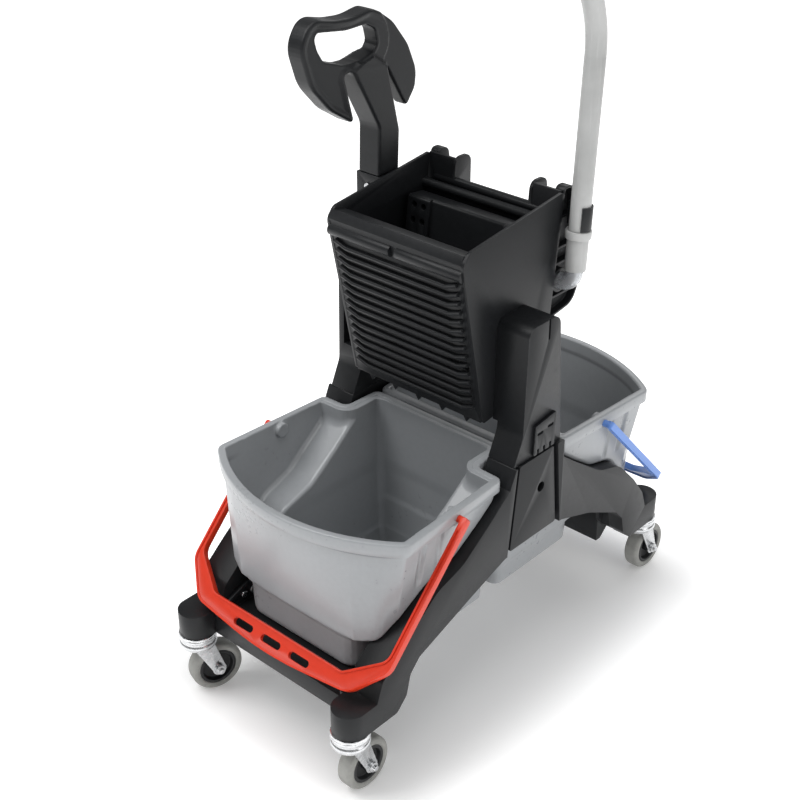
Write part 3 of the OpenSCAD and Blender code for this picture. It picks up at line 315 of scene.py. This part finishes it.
def as_piece(name, mesh, body, slot, stands_for=()):
    """A finished piece in metres at the origin, riding on a body."""
    obj = bpy.data.objects.new(name, mesh)
    bpy.context.scene.collection.objects.link(obj)
    if not mesh.materials:
        mesh.materials.append(FINISHES[slot])
    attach(obj, body)
    if stands_for:
        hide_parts(*stands_for)
    return obj


def mesh_from(name, points_mm, faces, sharp=40.0, normals=None):
    """A smooth mesh, with the given normals or with edges above the sharp angle kept."""
    mesh = bpy.data.meshes.new(name)
    points = [tuple(p) for p in np.asarray(points_mm, float) * MM]
    mesh.from_pydata(points, [], [tuple(int(i) for i in f) for f in faces])
    mesh.validate()
    mesh.shade_smooth()
    if normals is None:
        mesh.set_sharp_from_angle(angle=math.radians(sharp))
    else:
        mesh.normals_split_custom_set_from_vertices([tuple(n) for n in normals])
    return mesh


def loose_groups(bm):
    """The edges of each loose group of a mesh."""
    seen = set()
    groups = []
    for start in bm.verts:
        if start in seen:
            continue
        stack = [start]
        seen.add(start)
        edges = set()
        while stack:
            vert = stack.pop()
            for edge in vert.link_edges:
                edges.add(edge)
                other = edge.other_vert(vert)
                if other not in seen:
                    seen.add(other)
                    stack.append(other)
        groups.append(edges)
    return groups


SAME_POINT = 2e-6
NO_LENGTH = 1e-6
FLAT_BELOW = math.radians(0.6)
ROUND_ABOVE = math.radians(32.0)
SMOOTH_BELOW = math.radians(38.0)


def softened(node, width):
    """A copy of a CAD node with its sharp edges rounded off, which stands for the node."""
    source = nodes[node]
    bm = bmesh.new()
    bm.from_mesh(source.data)
    bmesh.ops.remove_doubles(bm, verts=bm.verts, dist=SAME_POINT)
    bmesh.ops.dissolve_degenerate(bm, edges=bm.edges, dist=NO_LENGTH)
    bmesh.ops.dissolve_limit(bm, angle_limit=FLAT_BELOW, verts=bm.verts, edges=bm.edges)
    wear = bm.faces.layers.float.new("edge_wear")
    for group in loose_groups(bm):
        edges = [e for e in group if e.is_valid and e.is_manifold and e.calc_face_angle(0.0) > ROUND_ABOVE]
        if not edges:
            continue
        result = bmesh.ops.bevel(
            bm, geom=edges, offset=width * MM, offset_type="OFFSET", segments=2, profile=0.5,
            affect="EDGES", clamp_overlap=True, miter_outer="ARC", harden_normals=False)
        for face in result["faces"]:
            face[wear] = 1.0
    mesh = bpy.data.meshes.new(node + "_body")
    bm.to_mesh(mesh)
    bm.free()
    mesh.shade_smooth()
    mesh.set_sharp_from_angle(angle=SMOOTH_BELOW)
    mesh.materials.clear()
    return as_piece(node + "_body", mesh, source["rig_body"], SLOT_OF[node], [node])


def rounded(corners, steps=6):
    """A closed outline of (x, y, radius) corners, as plain points."""
    points = []
    count = len(corners)
    for i, (x, y, radius) in enumerate(corners):
        b = np.array((x, y), float)
        if radius <= 0:
            points.append(b)
            continue
        a = np.array(corners[i - 1][:2], float)
        c = np.array(corners[(i + 1) % count][:2], float)
        u = (a - b) / np.linalg.norm(a - b)
        v = (c - b) / np.linalg.norm(c - b)
        half = math.acos(max(-1.0, min(1.0, float(u @ v)))) / 2
        centre = b + (u + v) / np.linalg.norm(u + v) * radius / math.sin(half)
        start = b + u * radius / math.tan(half) - centre
        end = b + v * radius / math.tan(half) - centre
        first = math.atan2(start[1], start[0])
        turn = (math.atan2(end[1], end[0]) - first + math.pi) % (2 * math.pi) - math.pi
        for k in range(steps + 1):
            t = first + turn * k / steps
            points.append(centre + radius * np.array((math.cos(t), math.sin(t))))
    return np.array(points)


def inset(corners, d):
    """A counter-clockwise outline of (x, y, radius) corners, moved inwards by d."""
    out = []
    count = len(corners)
    for i, (x, y, radius) in enumerate(corners):
        p = np.array((x, y), float)
        e = p - np.array(corners[i - 1][:2], float)
        f = np.array(corners[(i + 1) % count][:2], float) - p
        e /= np.linalg.norm(e)
        f /= np.linalg.norm(f)
        m = np.array((-e[1], e[0]))
        n = np.array((-f[1], f[0]))
        p = p + (m + n) * d / (1 + m @ n)
        bent = e[0] * f[1] - e[1] * f[0]
        out.append((p[0], p[1], 0 if radius == 0 else max(1.0, radius - d if bent > 0 else radius + d)))
    return out


def outline_distance(points, x, y):
    """Signed distance to a closed outline, negative inside."""
    x, y = np.broadcast_arrays(x, y)
    nearest = np.full(x.shape, np.inf)
    inside = np.zeros(x.shape, bool)
    for (ax, ay), (bx, by) in zip(points, np.roll(points, -1, axis=0)):
        ex, ey = bx - ax, by - ay
        length = ex * ex + ey * ey
        if length < 1e-12:
            continue
        t = np.clip(((x - ax) * ex + (y - ay) * ey) / length, 0.0, 1.0)
        nearest = np.minimum(nearest, (x - ax - t * ex) ** 2 + (y - ay - t * ey) ** 2)
        if ey:
            inside ^= ((ay > y) != (by > y)) & (x < (y - ay) * ex / ey + ax)
    return np.where(inside, -1.0, 1.0) * np.sqrt(nearest)


def eased(value):
    """0 below 0, 1 above 1, smooth between them."""
    t = np.clip(value, 0.0, 1.0)
    return t * t * (3 - 2 * t)


def melt(a, b, r):
    """Union of two fields, with a fillet of about r in the corner."""
    h = np.maximum(r - np.abs(a - b), 0.0)
    return np.minimum(a, b) - h * h / (4.0 * r)


def trim(a, b, r):
    """Meeting of two fields, with an edge rounded to about r."""
    return -melt(-a, -b, r)


def slab(flat, across, r):
    """A flat outline's field given a thickness, with its edges rounded to r."""
    p = flat + r
    q = across + r
    return np.minimum(np.maximum(p, q), 0.0) + np.hypot(np.maximum(p, 0.0), np.maximum(q, 0.0)) - r


def net(field, low, high, cell):
    """A closed mesh on the zero level of a field, with its points drawn onto that level."""
    axes = [np.arange(a, b + cell, cell) for a, b in zip(low, high)]
    grid = field(axes[0][:, None, None], axes[1][None, :, None], axes[2][None, None, :])
    inside = grid < 0
    size = np.array(grid.shape) - 1

    def part(array, offset):
        return array[tuple(slice(o, n + o) for o, n in zip(offset, size))]

    spots = [(i, j, k) for i in (0, 1) for j in (0, 1) for k in (0, 1)]
    full = sum(part(inside, s).astype(np.int8) for s in spots)
    active = (full > 0) & (full < 8)
    index = np.full(active.shape, -1)
    index[active] = np.arange(int(active.sum()))
    total = np.zeros((int(active.sum()), 3))
    hits = np.zeros(int(active.sum()))
    for axis in range(3):
        for s in spots:
            if s[axis]:
                continue
            far = list(s)
            far[axis] = 1
            a = part(grid, s)[active]
            b = part(grid, far)[active]
            cross = (a < 0) != (b < 0)
            t = np.where(cross, a / np.where(a == b, 1.0, a - b), 0.0)
            spot = np.tile(np.array(s, float), (len(a), 1))
            spot[:, axis] += t
            total += spot * cross[:, None]
            hits += cross
    points = (np.argwhere(active) + total / hits[:, None]) * cell + np.array([a[0] for a in axes])
    faces = []
    for axis in range(3):
        order = (axis, (axis + 1) % 3, (axis + 2) % 3)
        first = np.transpose(inside, order)
        cells = np.transpose(index, order)
        cross = first[:-1] != first[1:]
        cross[:, 0, :] = cross[:, -1, :] = False
        cross[:, :, 0] = cross[:, :, -1] = False
        i, j, k = np.nonzero(cross)
        quads = np.stack([cells[i, j - 1, k - 1], cells[i, j, k - 1], cells[i, j, k], cells[i, j - 1, k]], 1)
        back = ~first[i, j, k]
        quads[back] = quads[back][:, ::-1]
        faces.append(quads)

    def slope(p):
        value = field(p[:, 0], p[:, 1], p[:, 2])
        step = 0.25
        grad = np.stack([field(*(p + np.eye(3)[a] * step).T) - value for a in range(3)], 1) / step
        return value, grad

    start = points
    passes = 3
    least_slope = 0.05
    longest_move = 0.55 * cell
    tiny = 1e-9
    for _ in range(passes):
        value, grad = slope(points)
        points = points - grad * (value / np.maximum((grad ** 2).sum(1), least_slope))[:, None]
        moved = points - start
        reach = np.linalg.norm(moved, axis=1)
        points = start + moved * np.minimum(1.0, longest_move / np.maximum(reach, tiny))[:, None]
    grad = slope(points)[1]
    grad /= np.maximum(np.linalg.norm(grad, axis=1), tiny)[:, None]
    return points, np.concatenate(faces), grad


def ring_loft(rings):
    """Faces of closed rings joined one to the next, and the last to the first."""
    rings = np.asarray(rings)
    count, size = rings.shape[:2]
    faces = []
    for i in range(count):
        j = (i + 1) % count
        for k in range(size):
            m = (k + 1) % size
            faces.append((i * size + k, i * size + m, j * size + m, j * size + k))
    return rings.reshape(-1, 3), faces


def facing_out(mesh):
    """Turns a closed mesh's faces outwards."""
    bm = bmesh.new()
    bm.from_mesh(mesh)
    bmesh.ops.recalc_face_normals(bm, faces=bm.faces)
    bm.to_mesh(mesh)
    bm.free()
    return mesh


# Repeats

class Repeats:
    """A Geometry Nodes tree with named inputs, which ends in realised instances and a finish."""

    def __init__(self, name, inputs):
        self.tree = bpy.data.node_groups.new(name, "GeometryNodeTree")
        self.tree.interface.new_socket("Geometry", in_out="INPUT", socket_type="NodeSocketGeometry")
        self.ids = {}
        for label, kind in inputs.items():
            socket = self.tree.interface.new_socket(label, in_out="INPUT", socket_type="NodeSocket" + kind)
            self.ids[label] = socket.identifier
        self.ids["Finish"] = self.tree.interface.new_socket(
            "Finish", in_out="INPUT", socket_type="NodeSocketMaterial").identifier
        self.tree.interface.new_socket("Geometry", in_out="OUTPUT", socket_type="NodeSocketGeometry")
        self.given = self.tree.nodes.new("NodeGroupInput")

    def add(self, kind, settings=None, inputs=None, output=0):
        node = self.tree.nodes.new(kind)
        for key, value in (settings or {}).items():
            setattr(node, key, value)
        for key, value in (inputs or {}).items():
            if isinstance(value, bpy.types.NodeSocket):
                self.tree.links.new(value, node.inputs[key])
            else:
                node.inputs[key].default_value = value
        return node.outputs[output]

    def given_as(self, label):
        return self.given.outputs[label]

    def ends(self, geometry):
        real = self.add("GeometryNodeRealizeInstances", None, {0: geometry})
        smooth = self.add("GeometryNodeSetShadeSmooth", None, {0: real})
        dressed = self.add("GeometryNodeSetMaterial", None, {0: smooth, "Material": self.given_as("Finish")})
        out = self.tree.nodes.new("NodeGroupOutput")
        self.tree.links.new(dressed, out.inputs[0])
        return self

    def mesh(self, name, points_mm, edges, values, finish):
        """The tree's result on the given points and edges, as a plain mesh."""
        seed = bpy.data.meshes.new(name + "_seed")
        seed.from_pydata([tuple(p) for p in np.asarray(points_mm, float) * MM], edges, [])
        holder = bpy.data.objects.new(name + "_seed", seed)
        bpy.context.scene.collection.objects.link(holder)
        modifier = holder.modifiers.new("repeats", "NODES")
        modifier.node_group = self.tree
        for label, value in values.items():
            modifier[self.ids[label]] = value
        modifier[self.ids["Finish"]] = finish
        depsgraph = bpy.context.evaluated_depsgraph_get()
        mesh = bpy.data.meshes.new_from_object(holder.evaluated_get(depsgraph), depsgraph=depsgraph)
        mesh.name = name
        holder.modifiers.clear()
        bpy.data.objects.remove(holder)
        bpy.data.meshes.remove(seed)
        return mesh


def bars_tree():
    """Round bars along a drawn path, repeated at a pitch."""
    tree = Repeats("rows_of_bars",
                   {"Count": "Int", "Pitch": "Vector", "Radius": "Float", "Bend radius": "Float"})
    path = tree.add("GeometryNodeMeshToCurve", None, {0: tree.given_as("Geometry")})
    path = tree.add("GeometryNodeFilletCurve", {"mode": "POLY"},
                    {"Curve": path, "Count": 5, "Radius": tree.given_as("Bend radius")})
    ring = tree.add("GeometryNodeCurvePrimitiveCircle", None,
                    {"Resolution": 14, "Radius": tree.given_as("Radius")})
    bar = tree.add("GeometryNodeCurveToMesh", None, {"Curve": path, "Profile Curve": ring, "Fill Caps": True})
    row = tree.add("GeometryNodeMeshLine", {"mode": "OFFSET"},
                   {"Count": tree.given_as("Count"), "Offset": tree.given_as("Pitch")})
    return tree.ends(tree.add("GeometryNodeInstanceOnPoints", None, {"Points": row, "Instance": bar}))


BARS = bars_tree()


# Buckets

def castor_axis(e):
    """Distance of the castors' axes from the middle at the front (e = -1) or the rear (e = 1)."""
    return CASTOR_Y - e * CASTOR_SHIFT


FRAME_END_H = 46


def frame_top(e, lift):
    """The side frame's upper edge under a bucket's wings, as (y, height, radius)."""
    cy = castor_axis(e)
    return [(SADDLE_Y + lift, 239 + lift, 3), (100, 207 + lift, 60), (150, 172 + lift, 60),
            (200, 157 + lift, 50), ((200 + cy) / 2 - 10, 112 + lift, 50),
            (cy - 36, 76 + lift, 20), (cy - 25, FRAME_END_H + lift, 0)]


def bucket_outline(front, bow, corner, wing, notch, neck):
    """Closed outline of a bucket, as (x, y, radius), with its bowed end towards -Y."""
    reach = front[0]
    span = (reach * reach + bow * bow) / (2 * bow)
    turn = math.asin(reach / span)
    steps = 14
    half = []
    for i in range(steps + (front != corner)):
        t = turn * i / steps
        half.append((span * math.sin(t), -front[1] - bow + span * (1 - math.cos(t)), 0))
    half += [(x, -y, radius) for (x, y), radius in ((corner, 16), (wing, 9), (notch, 9), (neck, 12))]
    return [(-x, y, r) for x, y, r in half[:0:-1]] + half


RIM_CORNER = (RIM_HALF_W, RIM_CORNER_Y)
RIM = bucket_outline(RIM_CORNER, RIM_BOW, RIM_CORNER, (RIM_HALF_W - 9, WING_Y),
                     (NECK_HALF_W + 2, WING_Y - 2), (NECK_HALF_W, RIM_IN_Y))
# The walls meet the rim's skirt at the outer end and the sides, and stand back from it between the columns
STEP_IN = 3.0
BACK = RIM_OUT - STEP_IN
WALL_TOP = bucket_outline(RIM_CORNER, RIM_BOW, RIM_CORNER, (RIM_HALF_W - 9, WING_Y + BACK),
                          (NECK_HALF_W + 2 - BACK, WING_Y - 2 + BACK), (NECK_HALF_W - BACK, RIM_IN_Y + BACK))
SHOULDER = bucket_outline((FOOT_HALF_W + 4, FOOT_OUT_Y + 4.5), 3, (RIM_HALF_W - 34, FOOT_OUT_Y - 9),
                          (RIM_HALF_W - 22, WING_Y + RIM_OUT),
                          (NECK_HALF_W - RIM_OUT + 2, WING_Y - 2 + RIM_OUT),
                          (NECK_HALF_W - RIM_OUT, RIM_IN_Y + RIM_OUT))


def foot_outline(half_w, out_y, in_y):
    """Closed outline of a bucket's foot or well, as (x, y, radius)."""
    return [(-half_w, -out_y, 24), (half_w, -out_y, 24), (half_w, -in_y, 14), (-half_w, -in_y, 14)]


def bucket_field(e):
    """Field of a bucket's shell, with its bowed end towards -Y."""
    shoulder = rounded(SHOULDER, 4)
    rim = rounded(inset(WALL_TOP, STEP_IN), 4)
    foot_low = rounded(foot_outline(FOOT_HALF_W, FOOT_OUT_Y, RIM_IN_Y + RIM_OUT + 2), 5)
    foot_high = rounded(foot_outline(NECK_HALF_W - RIM_OUT, FOOT_OUT_Y + 8, RIM_IN_Y + RIM_OUT), 5)
    well_low = rounded(foot_outline(FOOT_HALF_W - 3, WELL_OUT_Y, RIM_IN_Y + RIM_OUT + 3), 5)
    well_high = rounded(foot_outline(FOOT_HALF_W - 1, WELL_OUT_Y + 2, RIM_IN_Y + RIM_OUT + 2.5), 5)
    lift = 0.6
    cy = castor_axis(e)
    below = [(0, -40, 0), (0, 320, 0), (-SADDLE_Y - lift, 320, 0)]
    below += [(-y, h, r) for y, h, r in frame_top(e, lift)]
    below += [(-cy - 60, FRAME_END_H + lift, 0), (-cy - 60, -40, 0)]
    below = rounded(below, 6)

    def outside(x, y, z):
        wide = np.abs(x)
        t = np.clip((z - SHOULDER_H) / (RIM_H - SHOULDER_H), 0.0, 1.1)
        upper = outline_distance(shoulder, wide, y) * (1 - t) + outline_distance(rim, wide, y) * t
        upper = trim(upper, SHOULDER_H - z, 8.0)
        keep_off = np.minimum(wide - (FOOT_HALF_W - 4), -outline_distance(below, y, z))
        upper = trim(upper, keep_off, 7.0)
        t = np.clip((z - SEAT_H) / (RIM_H - SEAT_H), 0.0, 1.1)
        foot = outline_distance(foot_low, wide, y) * (1 - t) + outline_distance(foot_high, wide, y) * t
        foot = trim(foot, SEAT_H - z, 9.0)
        t = np.clip((z - BUCKET_BASE_H) / (SEAT_H + 20 - BUCKET_BASE_H), 0.0, 1.0)
        well = outline_distance(well_low, wide, y) * (1 - t) + outline_distance(well_high, wide, y) * t
        well = trim(well, BUCKET_BASE_H - z, 3.5)
        return melt(melt(upper, foot, 6.0), well, 3.0)

    def hollows(x, y, z):
        """Depth of the upright grooves in the outside of the side walls."""
        depth = 0 * x + 0 * y + 0 * z
        for place in FLUTES:
            near = eased((FLUTE_HALF_W - np.abs(y + place)) / FLUTE_EDGE)
            depth = depth + near * eased((z - FLUTE_FROM_H) / FLUTE_RUN)
        return np.where(np.abs(x) > FLUTE_FROM_X, FLUTE_DEPTH * depth, 0.0)

    def shell(x, y, z):
        body = outside(x, y, z)
        thick = BUCKET_WALL + WALL_GAIN * eased((z - WALL_GAIN_H) / WALL_GAIN_RUN)
        wall = np.maximum(body + hollows(x, y, z), -body - thick)
        wide = np.abs(x)
        from_pin = np.hypot(y + PIVOT_Y, z - PIVOT_H)
        boss = slab(from_pin - BOSS_R, np.abs(wide - BOSS_X) - BOSS_HALF_T, BOSS_EDGE_R)
        wall = melt(wall, boss, 2.0)
        wall = np.maximum(wall, np.minimum(PIN_R + PIN_GAP - from_pin, wide - BOSS_CAP_X))
        return np.maximum(wall, z - RIM_H + SHELL_BELOW_RIM)

    return shell


def bucket_rim():
    """The rolled rim: a flat top with a rounded edge, an outer skirt and an inner lip."""
    profile = [(2.9, -17.6), (2.2, -18.2), (0.7, -18.2), (0.1, -17.5), (0.0, -9.0), (0.0, -3.2), (0.5, -1.4),
               (1.6, -0.4), (3.2, 0.0), (7.6, 0.0), (9.2, -0.3), (10.3, -1.1), (10.8, -2.4), (10.8, -7.0),
               (5.5, -7.0), (5.2, -4.6), (4.6, -3.8), (3.9, -3.8), (3.2, -4.6), (2.9, -6.0)]
    rings = []
    for d, z in profile:
        flat = rounded(inset(RIM, d), 5)
        rings.append(np.column_stack([flat, np.full(len(flat), RIM_H + z + DECK_Z)]))
    return rings


def at_end(points, e):
    """Points of the front end, or turned half round for the rear."""
    points = np.array(points, float)
    if e > 0:
        points[:, :2] *= -1
    return points


BUCKET_CELL = 3.0
BUCKET_ROOM = ((-186, -345, 0), (186, 4, RIM_H + 4))


def make_bucket(end, e):
    """A bucket's shell and rim, at the front (e = -1) or the rear (e = 1)."""
    body = "bucket_" + end
    points, faces, normals = net(bucket_field(e), *BUCKET_ROOM, BUCKET_CELL)
    points[:, 2] += DECK_Z
    mesh = mesh_from(body + "_shell", at_end(points, e), faces, normals=at_end(normals, e))
    # Painted shade in the corner under the rim's skirt at the bowed end, where the skirt's shadow falls
    drop = np.abs(points[:, 2] - (RIM_H - RIM_SKIRT - 1.5 + DECK_Z))
    corner = eased((4.5 - drop) / 4.0) * eased((-points[:, 1] - 225.0) / 40.0)
    mesh.attributes.new("painted_skirt_shade", "FLOAT", "POINT").data.foreach_set("value", corner.astype(np.float32))
    as_piece(body + "_shell", mesh, body, "bucket_grey", [body])
    points, faces = ring_loft(bucket_rim())
    mesh = facing_out(mesh_from(body + "_rim", at_end(points, e), faces, sharp=50.0))
    as_piece(body + "_rim", mesh, body, "bucket_grey")


make_bucket("front", -1)
make_bucket("rear", 1)


# Lever handle

LOOP = rounded([
    (-28, 80, 4), (-46, 146, 3), (-36, 151, 3), (31, 142, 3), (36, 140, 3), (73, 78, 5), (91, 102, 20),
    (94, 125, 40), (77, 163, 60), (48, 198, 60), (24, 214, 50), (4, 223, 24), (-30, 217.5, 80),
    (-60, 220, 80), (-100, 229, 24), (-122, 196, 34), (-105, 144, 60), (-72, 108, 60)])
HAND_HOLE = rounded([
    (-95, 204, 8), (-91, 189, 30), (-80, 172, 16), (-46, 161, 40), (-16, 160, 30), (10, 167, 12),
    (17, 176, 10), (12, 196, 12), (-4, 204, 10), (-40, 203, 80), (-90, 210, 6)])
STEM = rounded([
    (-20, 0, 2), (20, 0, 2), (22, 56, 24), (0, 146, 0), (-30, 168, 0), (-64, 152, 0), (-18, 68, 24)])
HANDLE_EDGE_R = 4.0
STEM_OFF_HOLE = 2.0
TENON_HALF_W = 12.9
TENON_MID_Z = -16.5
TENON_HALF_L = 17.4
HANDLE_CELL = 2.0
HANDLE_ROOM = ((LEVER_X - 24, -130, -40), (LEVER_X + 24, 102, 238))


def handle_field(x, y, z):
    """Field of the lever's handle, with heights from the socket's top."""
    across = np.abs(x - LEVER_X)
    edge = outline_distance(LOOP, y, z)
    hole = outline_distance(HAND_HOLE, y, z)
    dish = 2.2 * eased((-edge - 4.0) / 7.0) * eased((hole - 1.0) / 6.0 + 0.4)
    prong = 3.2 * eased((hole - 15.0) / 9.0) * eased((y - 18.0) / 12.0)
    half = LOOP_T / 2 - np.maximum(dish, prong)
    loop = slab(np.maximum(edge, -hole), across - half, HANDLE_EDGE_R)
    stem = slab(outline_distance(STEM, y - SHAFT_Y, z), across - STEM_W / 2, HANDLE_EDGE_R)
    stem = np.maximum(stem, STEM_OFF_HOLE - hole)
    tenon = np.maximum(across, np.abs(y - SHAFT_Y)) - TENON_HALF_W
    tenon = np.maximum(tenon, np.abs(z - TENON_MID_Z) - TENON_HALF_L)
    return np.minimum(melt(loop, stem, 7.0), tenon)


def make_handle():
    points, faces, normals = net(handle_field, *HANDLE_ROOM, HANDLE_CELL)
    points[:, 2] += SOCKET_TOP_H + DECK_Z
    mesh = mesh_from("lever_handle_body", points, faces, normals=normals)
    as_piece("lever_handle_body", mesh, "lever", "black_plastic", ["lever_handle"])


make_handle()


# Hopper's front ribs

def front_ribs():
    """Round bars across the hopper's leaning front, with their ends bent upwards."""
    over = HOPPER_FRONT_Y - HOPPER_BASE_Y
    up = HOPPER_FRONT_H - HOPPER_BASE_H
    lean = math.atan2(over, up)
    length = math.hypot(over, up)
    half = HOPPER_HALF_W - 12
    bend = 18
    first = 18.3
    tip = first + bend * 0.38
    path = [(-half - 0.5, tip, RIB_R), (-half + bend, first, RIB_OUT),
            (half - bend, first, RIB_OUT), (half + 0.5, tip, RIB_R)]
    pitch = (length - 40) / RIB_COUNT * MM
    sizes = {"Count": RIB_COUNT, "Pitch": (0.0, pitch, 0.0),
             "Radius": RIB_R * MM, "Bend radius": RIB_BEND_R * MM}
    mesh = BARS.mesh("hopper_ribs", path, [(0, 1), (1, 2), (2, 3)], sizes, FINISHES["black_plastic"])
    place = Matrix.Translation((0, -HOPPER_BASE_Y * MM, (HOPPER_BASE_H + DECK_Z) * MM))
    mesh.transform(place @ Matrix.Rotation(math.radians(90) + lean, 4, "X"))
    mesh.set_sharp_from_angle(angle=math.radians(50))
    as_piece("hopper_ribs", mesh, "chassis", "black_plastic")


front_ribs()


# The other nodes, with the width of the rounding on their edges

ROUNDING = {
    "side_frame_left": 2.2, "side_frame_right": 2.2, "shelf_front": 1.4, "shelf_rear": 1.4, "centre_web": 1.2,
    "column_cover_left": 2.0, "column_cover_right": 2.0, "press_leg_left": 2.0, "press_leg_right": 2.0,
    "clip_plate_left": 0.7, "clip_plate_right": 0.7, "press_hopper": 1.2, "drain_grate": 0.8,
    "pressure_plate": 1.2, "lever_socket": 2.5, "rear_bracket_left": 1.0, "rear_bracket_right": 1.0,
    "tube_elbow": 0.8, "tube_cuff": 0.8, "tube_collar": 1.2, "push_tube": 0.6, "tube_end_cap": 1.0,
    "tube_clip": 0.7, "bail_front": 1.6, "bail_rear": 1.6,
    "castor_stems": 0.6, "castor_cups": 1.0, "lever_shaft": 0.8, "lever_screw": 0.6, "frame_screws": 0.6,
    "shaft_bushes": 0.5,
}
for corner in ("front_left", "front_right", "rear_left", "rear_right"):
    for piece, width in (("fork", 0.8), ("axle", 0.8), ("hub", 0.8), ("tyre", 1.5)):
        ROUNDING["castor_" + corner + "_" + piece] = width
for node, width in ROUNDING.items():
    softened(node, width)


# Floor, light and camera

FLOOR_HALF = 30
SHADOW_HALF_X = 0.17
SHADOW_HALF_Y = 0.30
SHADOW_FADE = 0.18


def floor():
    """A pale floor with a little painted glow, though it is no lamp, and less glow under the trolley: a
    painted shadow.
    """
    mesh = bpy.data.meshes.new("floor")
    corners = [(x * FLOOR_HALF, y * FLOOR_HALF, 0) for x, y in ((-1, -1), (1, -1), (1, 1), (-1, 1))]
    mesh.from_pydata(corners, [], [(0, 1, 2, 3)])
    obj = bpy.data.objects.new("floor", mesh)
    bpy.context.scene.collection.objects.link(obj)
    finish = Finish("pale_floor_painted_glow", Roughness=0.9, Specular_IOR_Level=0.1, Emission_Strength=1.0)
    cloud = finish.noise(0.8, 2.0)
    across = finish.add("ShaderNodeSeparateXYZ", None, {0: finish.place}, output="X")
    along = finish.add("ShaderNodeSeparateXYZ", None, {0: finish.place}, output="Y")
    beside = across.maths("MAXIMUM", across.maths("ABSOLUTE", across) - SHADOW_HALF_X, 0.0)
    beyond = along.maths("MAXIMUM", along.maths("ABSOLUTE", along) - SHADOW_HALF_Y, 0.0)
    away = (beside * beside + beyond * beyond) ** 0.5
    # Painted glow, dimmed into a painted shadow within the fade around the trolley's footprint
    painted_floor_glow = finish.mix(away.within(0.0, SHADOW_FADE), (0.16, 0.16, 0.16, 1), (0.75, 0.75, 0.75, 1))
    base = finish.mix(cloud, (0.90, 0.90, 0.90, 1), (0.93, 0.93, 0.93, 1))
    finish.feed(Base_Color=base, Emission_Color=painted_floor_glow)
    mesh.materials.append(finish.material)


def lamp(name, place, aim, size, power):
    """A white softbox at a place, turned to its aim."""
    data = bpy.data.lights.new(name, "AREA")
    data.shape = "RECTANGLE"
    data.size, data.size_y = size
    data.energy = power
    obj = bpy.data.objects.new(name, data)
    bpy.context.scene.collection.objects.link(obj)
    obj.location = place
    obj.rotation_euler = (Vector(aim) - Vector(place)).to_track_quat("-Z", "Y").to_euler()


floor()
lamp("key_softbox", (-1.2, -1.6, 3.0), (0, 0, 0.35), (1.6, 1.6), 44)
lamp("top_softbox", (0.1, -0.3, 3.2), (0, 0, 0.3), (2.4, 2.4), 34)
lamp("right_softbox", (2.6, 0.2, 1.5), (0, 0, 0.4), (1.4, 2.0), 14)
lamp("rear_softbox", (-0.6, 2.4, 2.2), (0, 0, 0.5), (2.0, 1.0), 14)

# The camera sees the background white, and the trolley is lit by less
SEEN_LEVEL = 1.0
LIT_LEVEL = 0.30
world = bpy.data.worlds.new("studio")
world.use_nodes = True
world_tree = world.node_tree
background = world_tree.nodes["Background"]
background.inputs["Color"].default_value = (1, 1, 1, 1)
sight = world_tree.nodes.new("ShaderNodeLightPath")
level = world_tree.nodes.new("ShaderNodeMath")
level.operation = "MULTIPLY_ADD"
level.inputs[1].default_value = SEEN_LEVEL - LIT_LEVEL
level.inputs[2].default_value = LIT_LEVEL
world_tree.links.new(sight.outputs["Is Camera Ray"], level.inputs[0])
world_tree.links.new(level.outputs[0], background.inputs["Strength"])
bpy.context.scene.world = world
bpy.context.scene.view_settings.view_transform = "Standard"

# The place, aim and lens that lay the trolley over the photograph
CAMERA_PLACE = Vector((1.0873, -1.2819, 1.3492))
CAMERA_AIM = Vector((-0.0433, -0.0347, 0.3805))
camera_data = bpy.data.cameras.new("camera")
camera_data.lens = 63.57
camera_data.sensor_width = 36.0
camera = bpy.data.objects.new("camera", camera_data)
bpy.context.scene.collection.objects.link(camera)
camera.location = CAMERA_PLACE
camera.rotation_euler = (CAMERA_AIM - CAMERA_PLACE).to_track_quat("-Z", "Y").to_euler()
bpy.context.scene.camera = camera
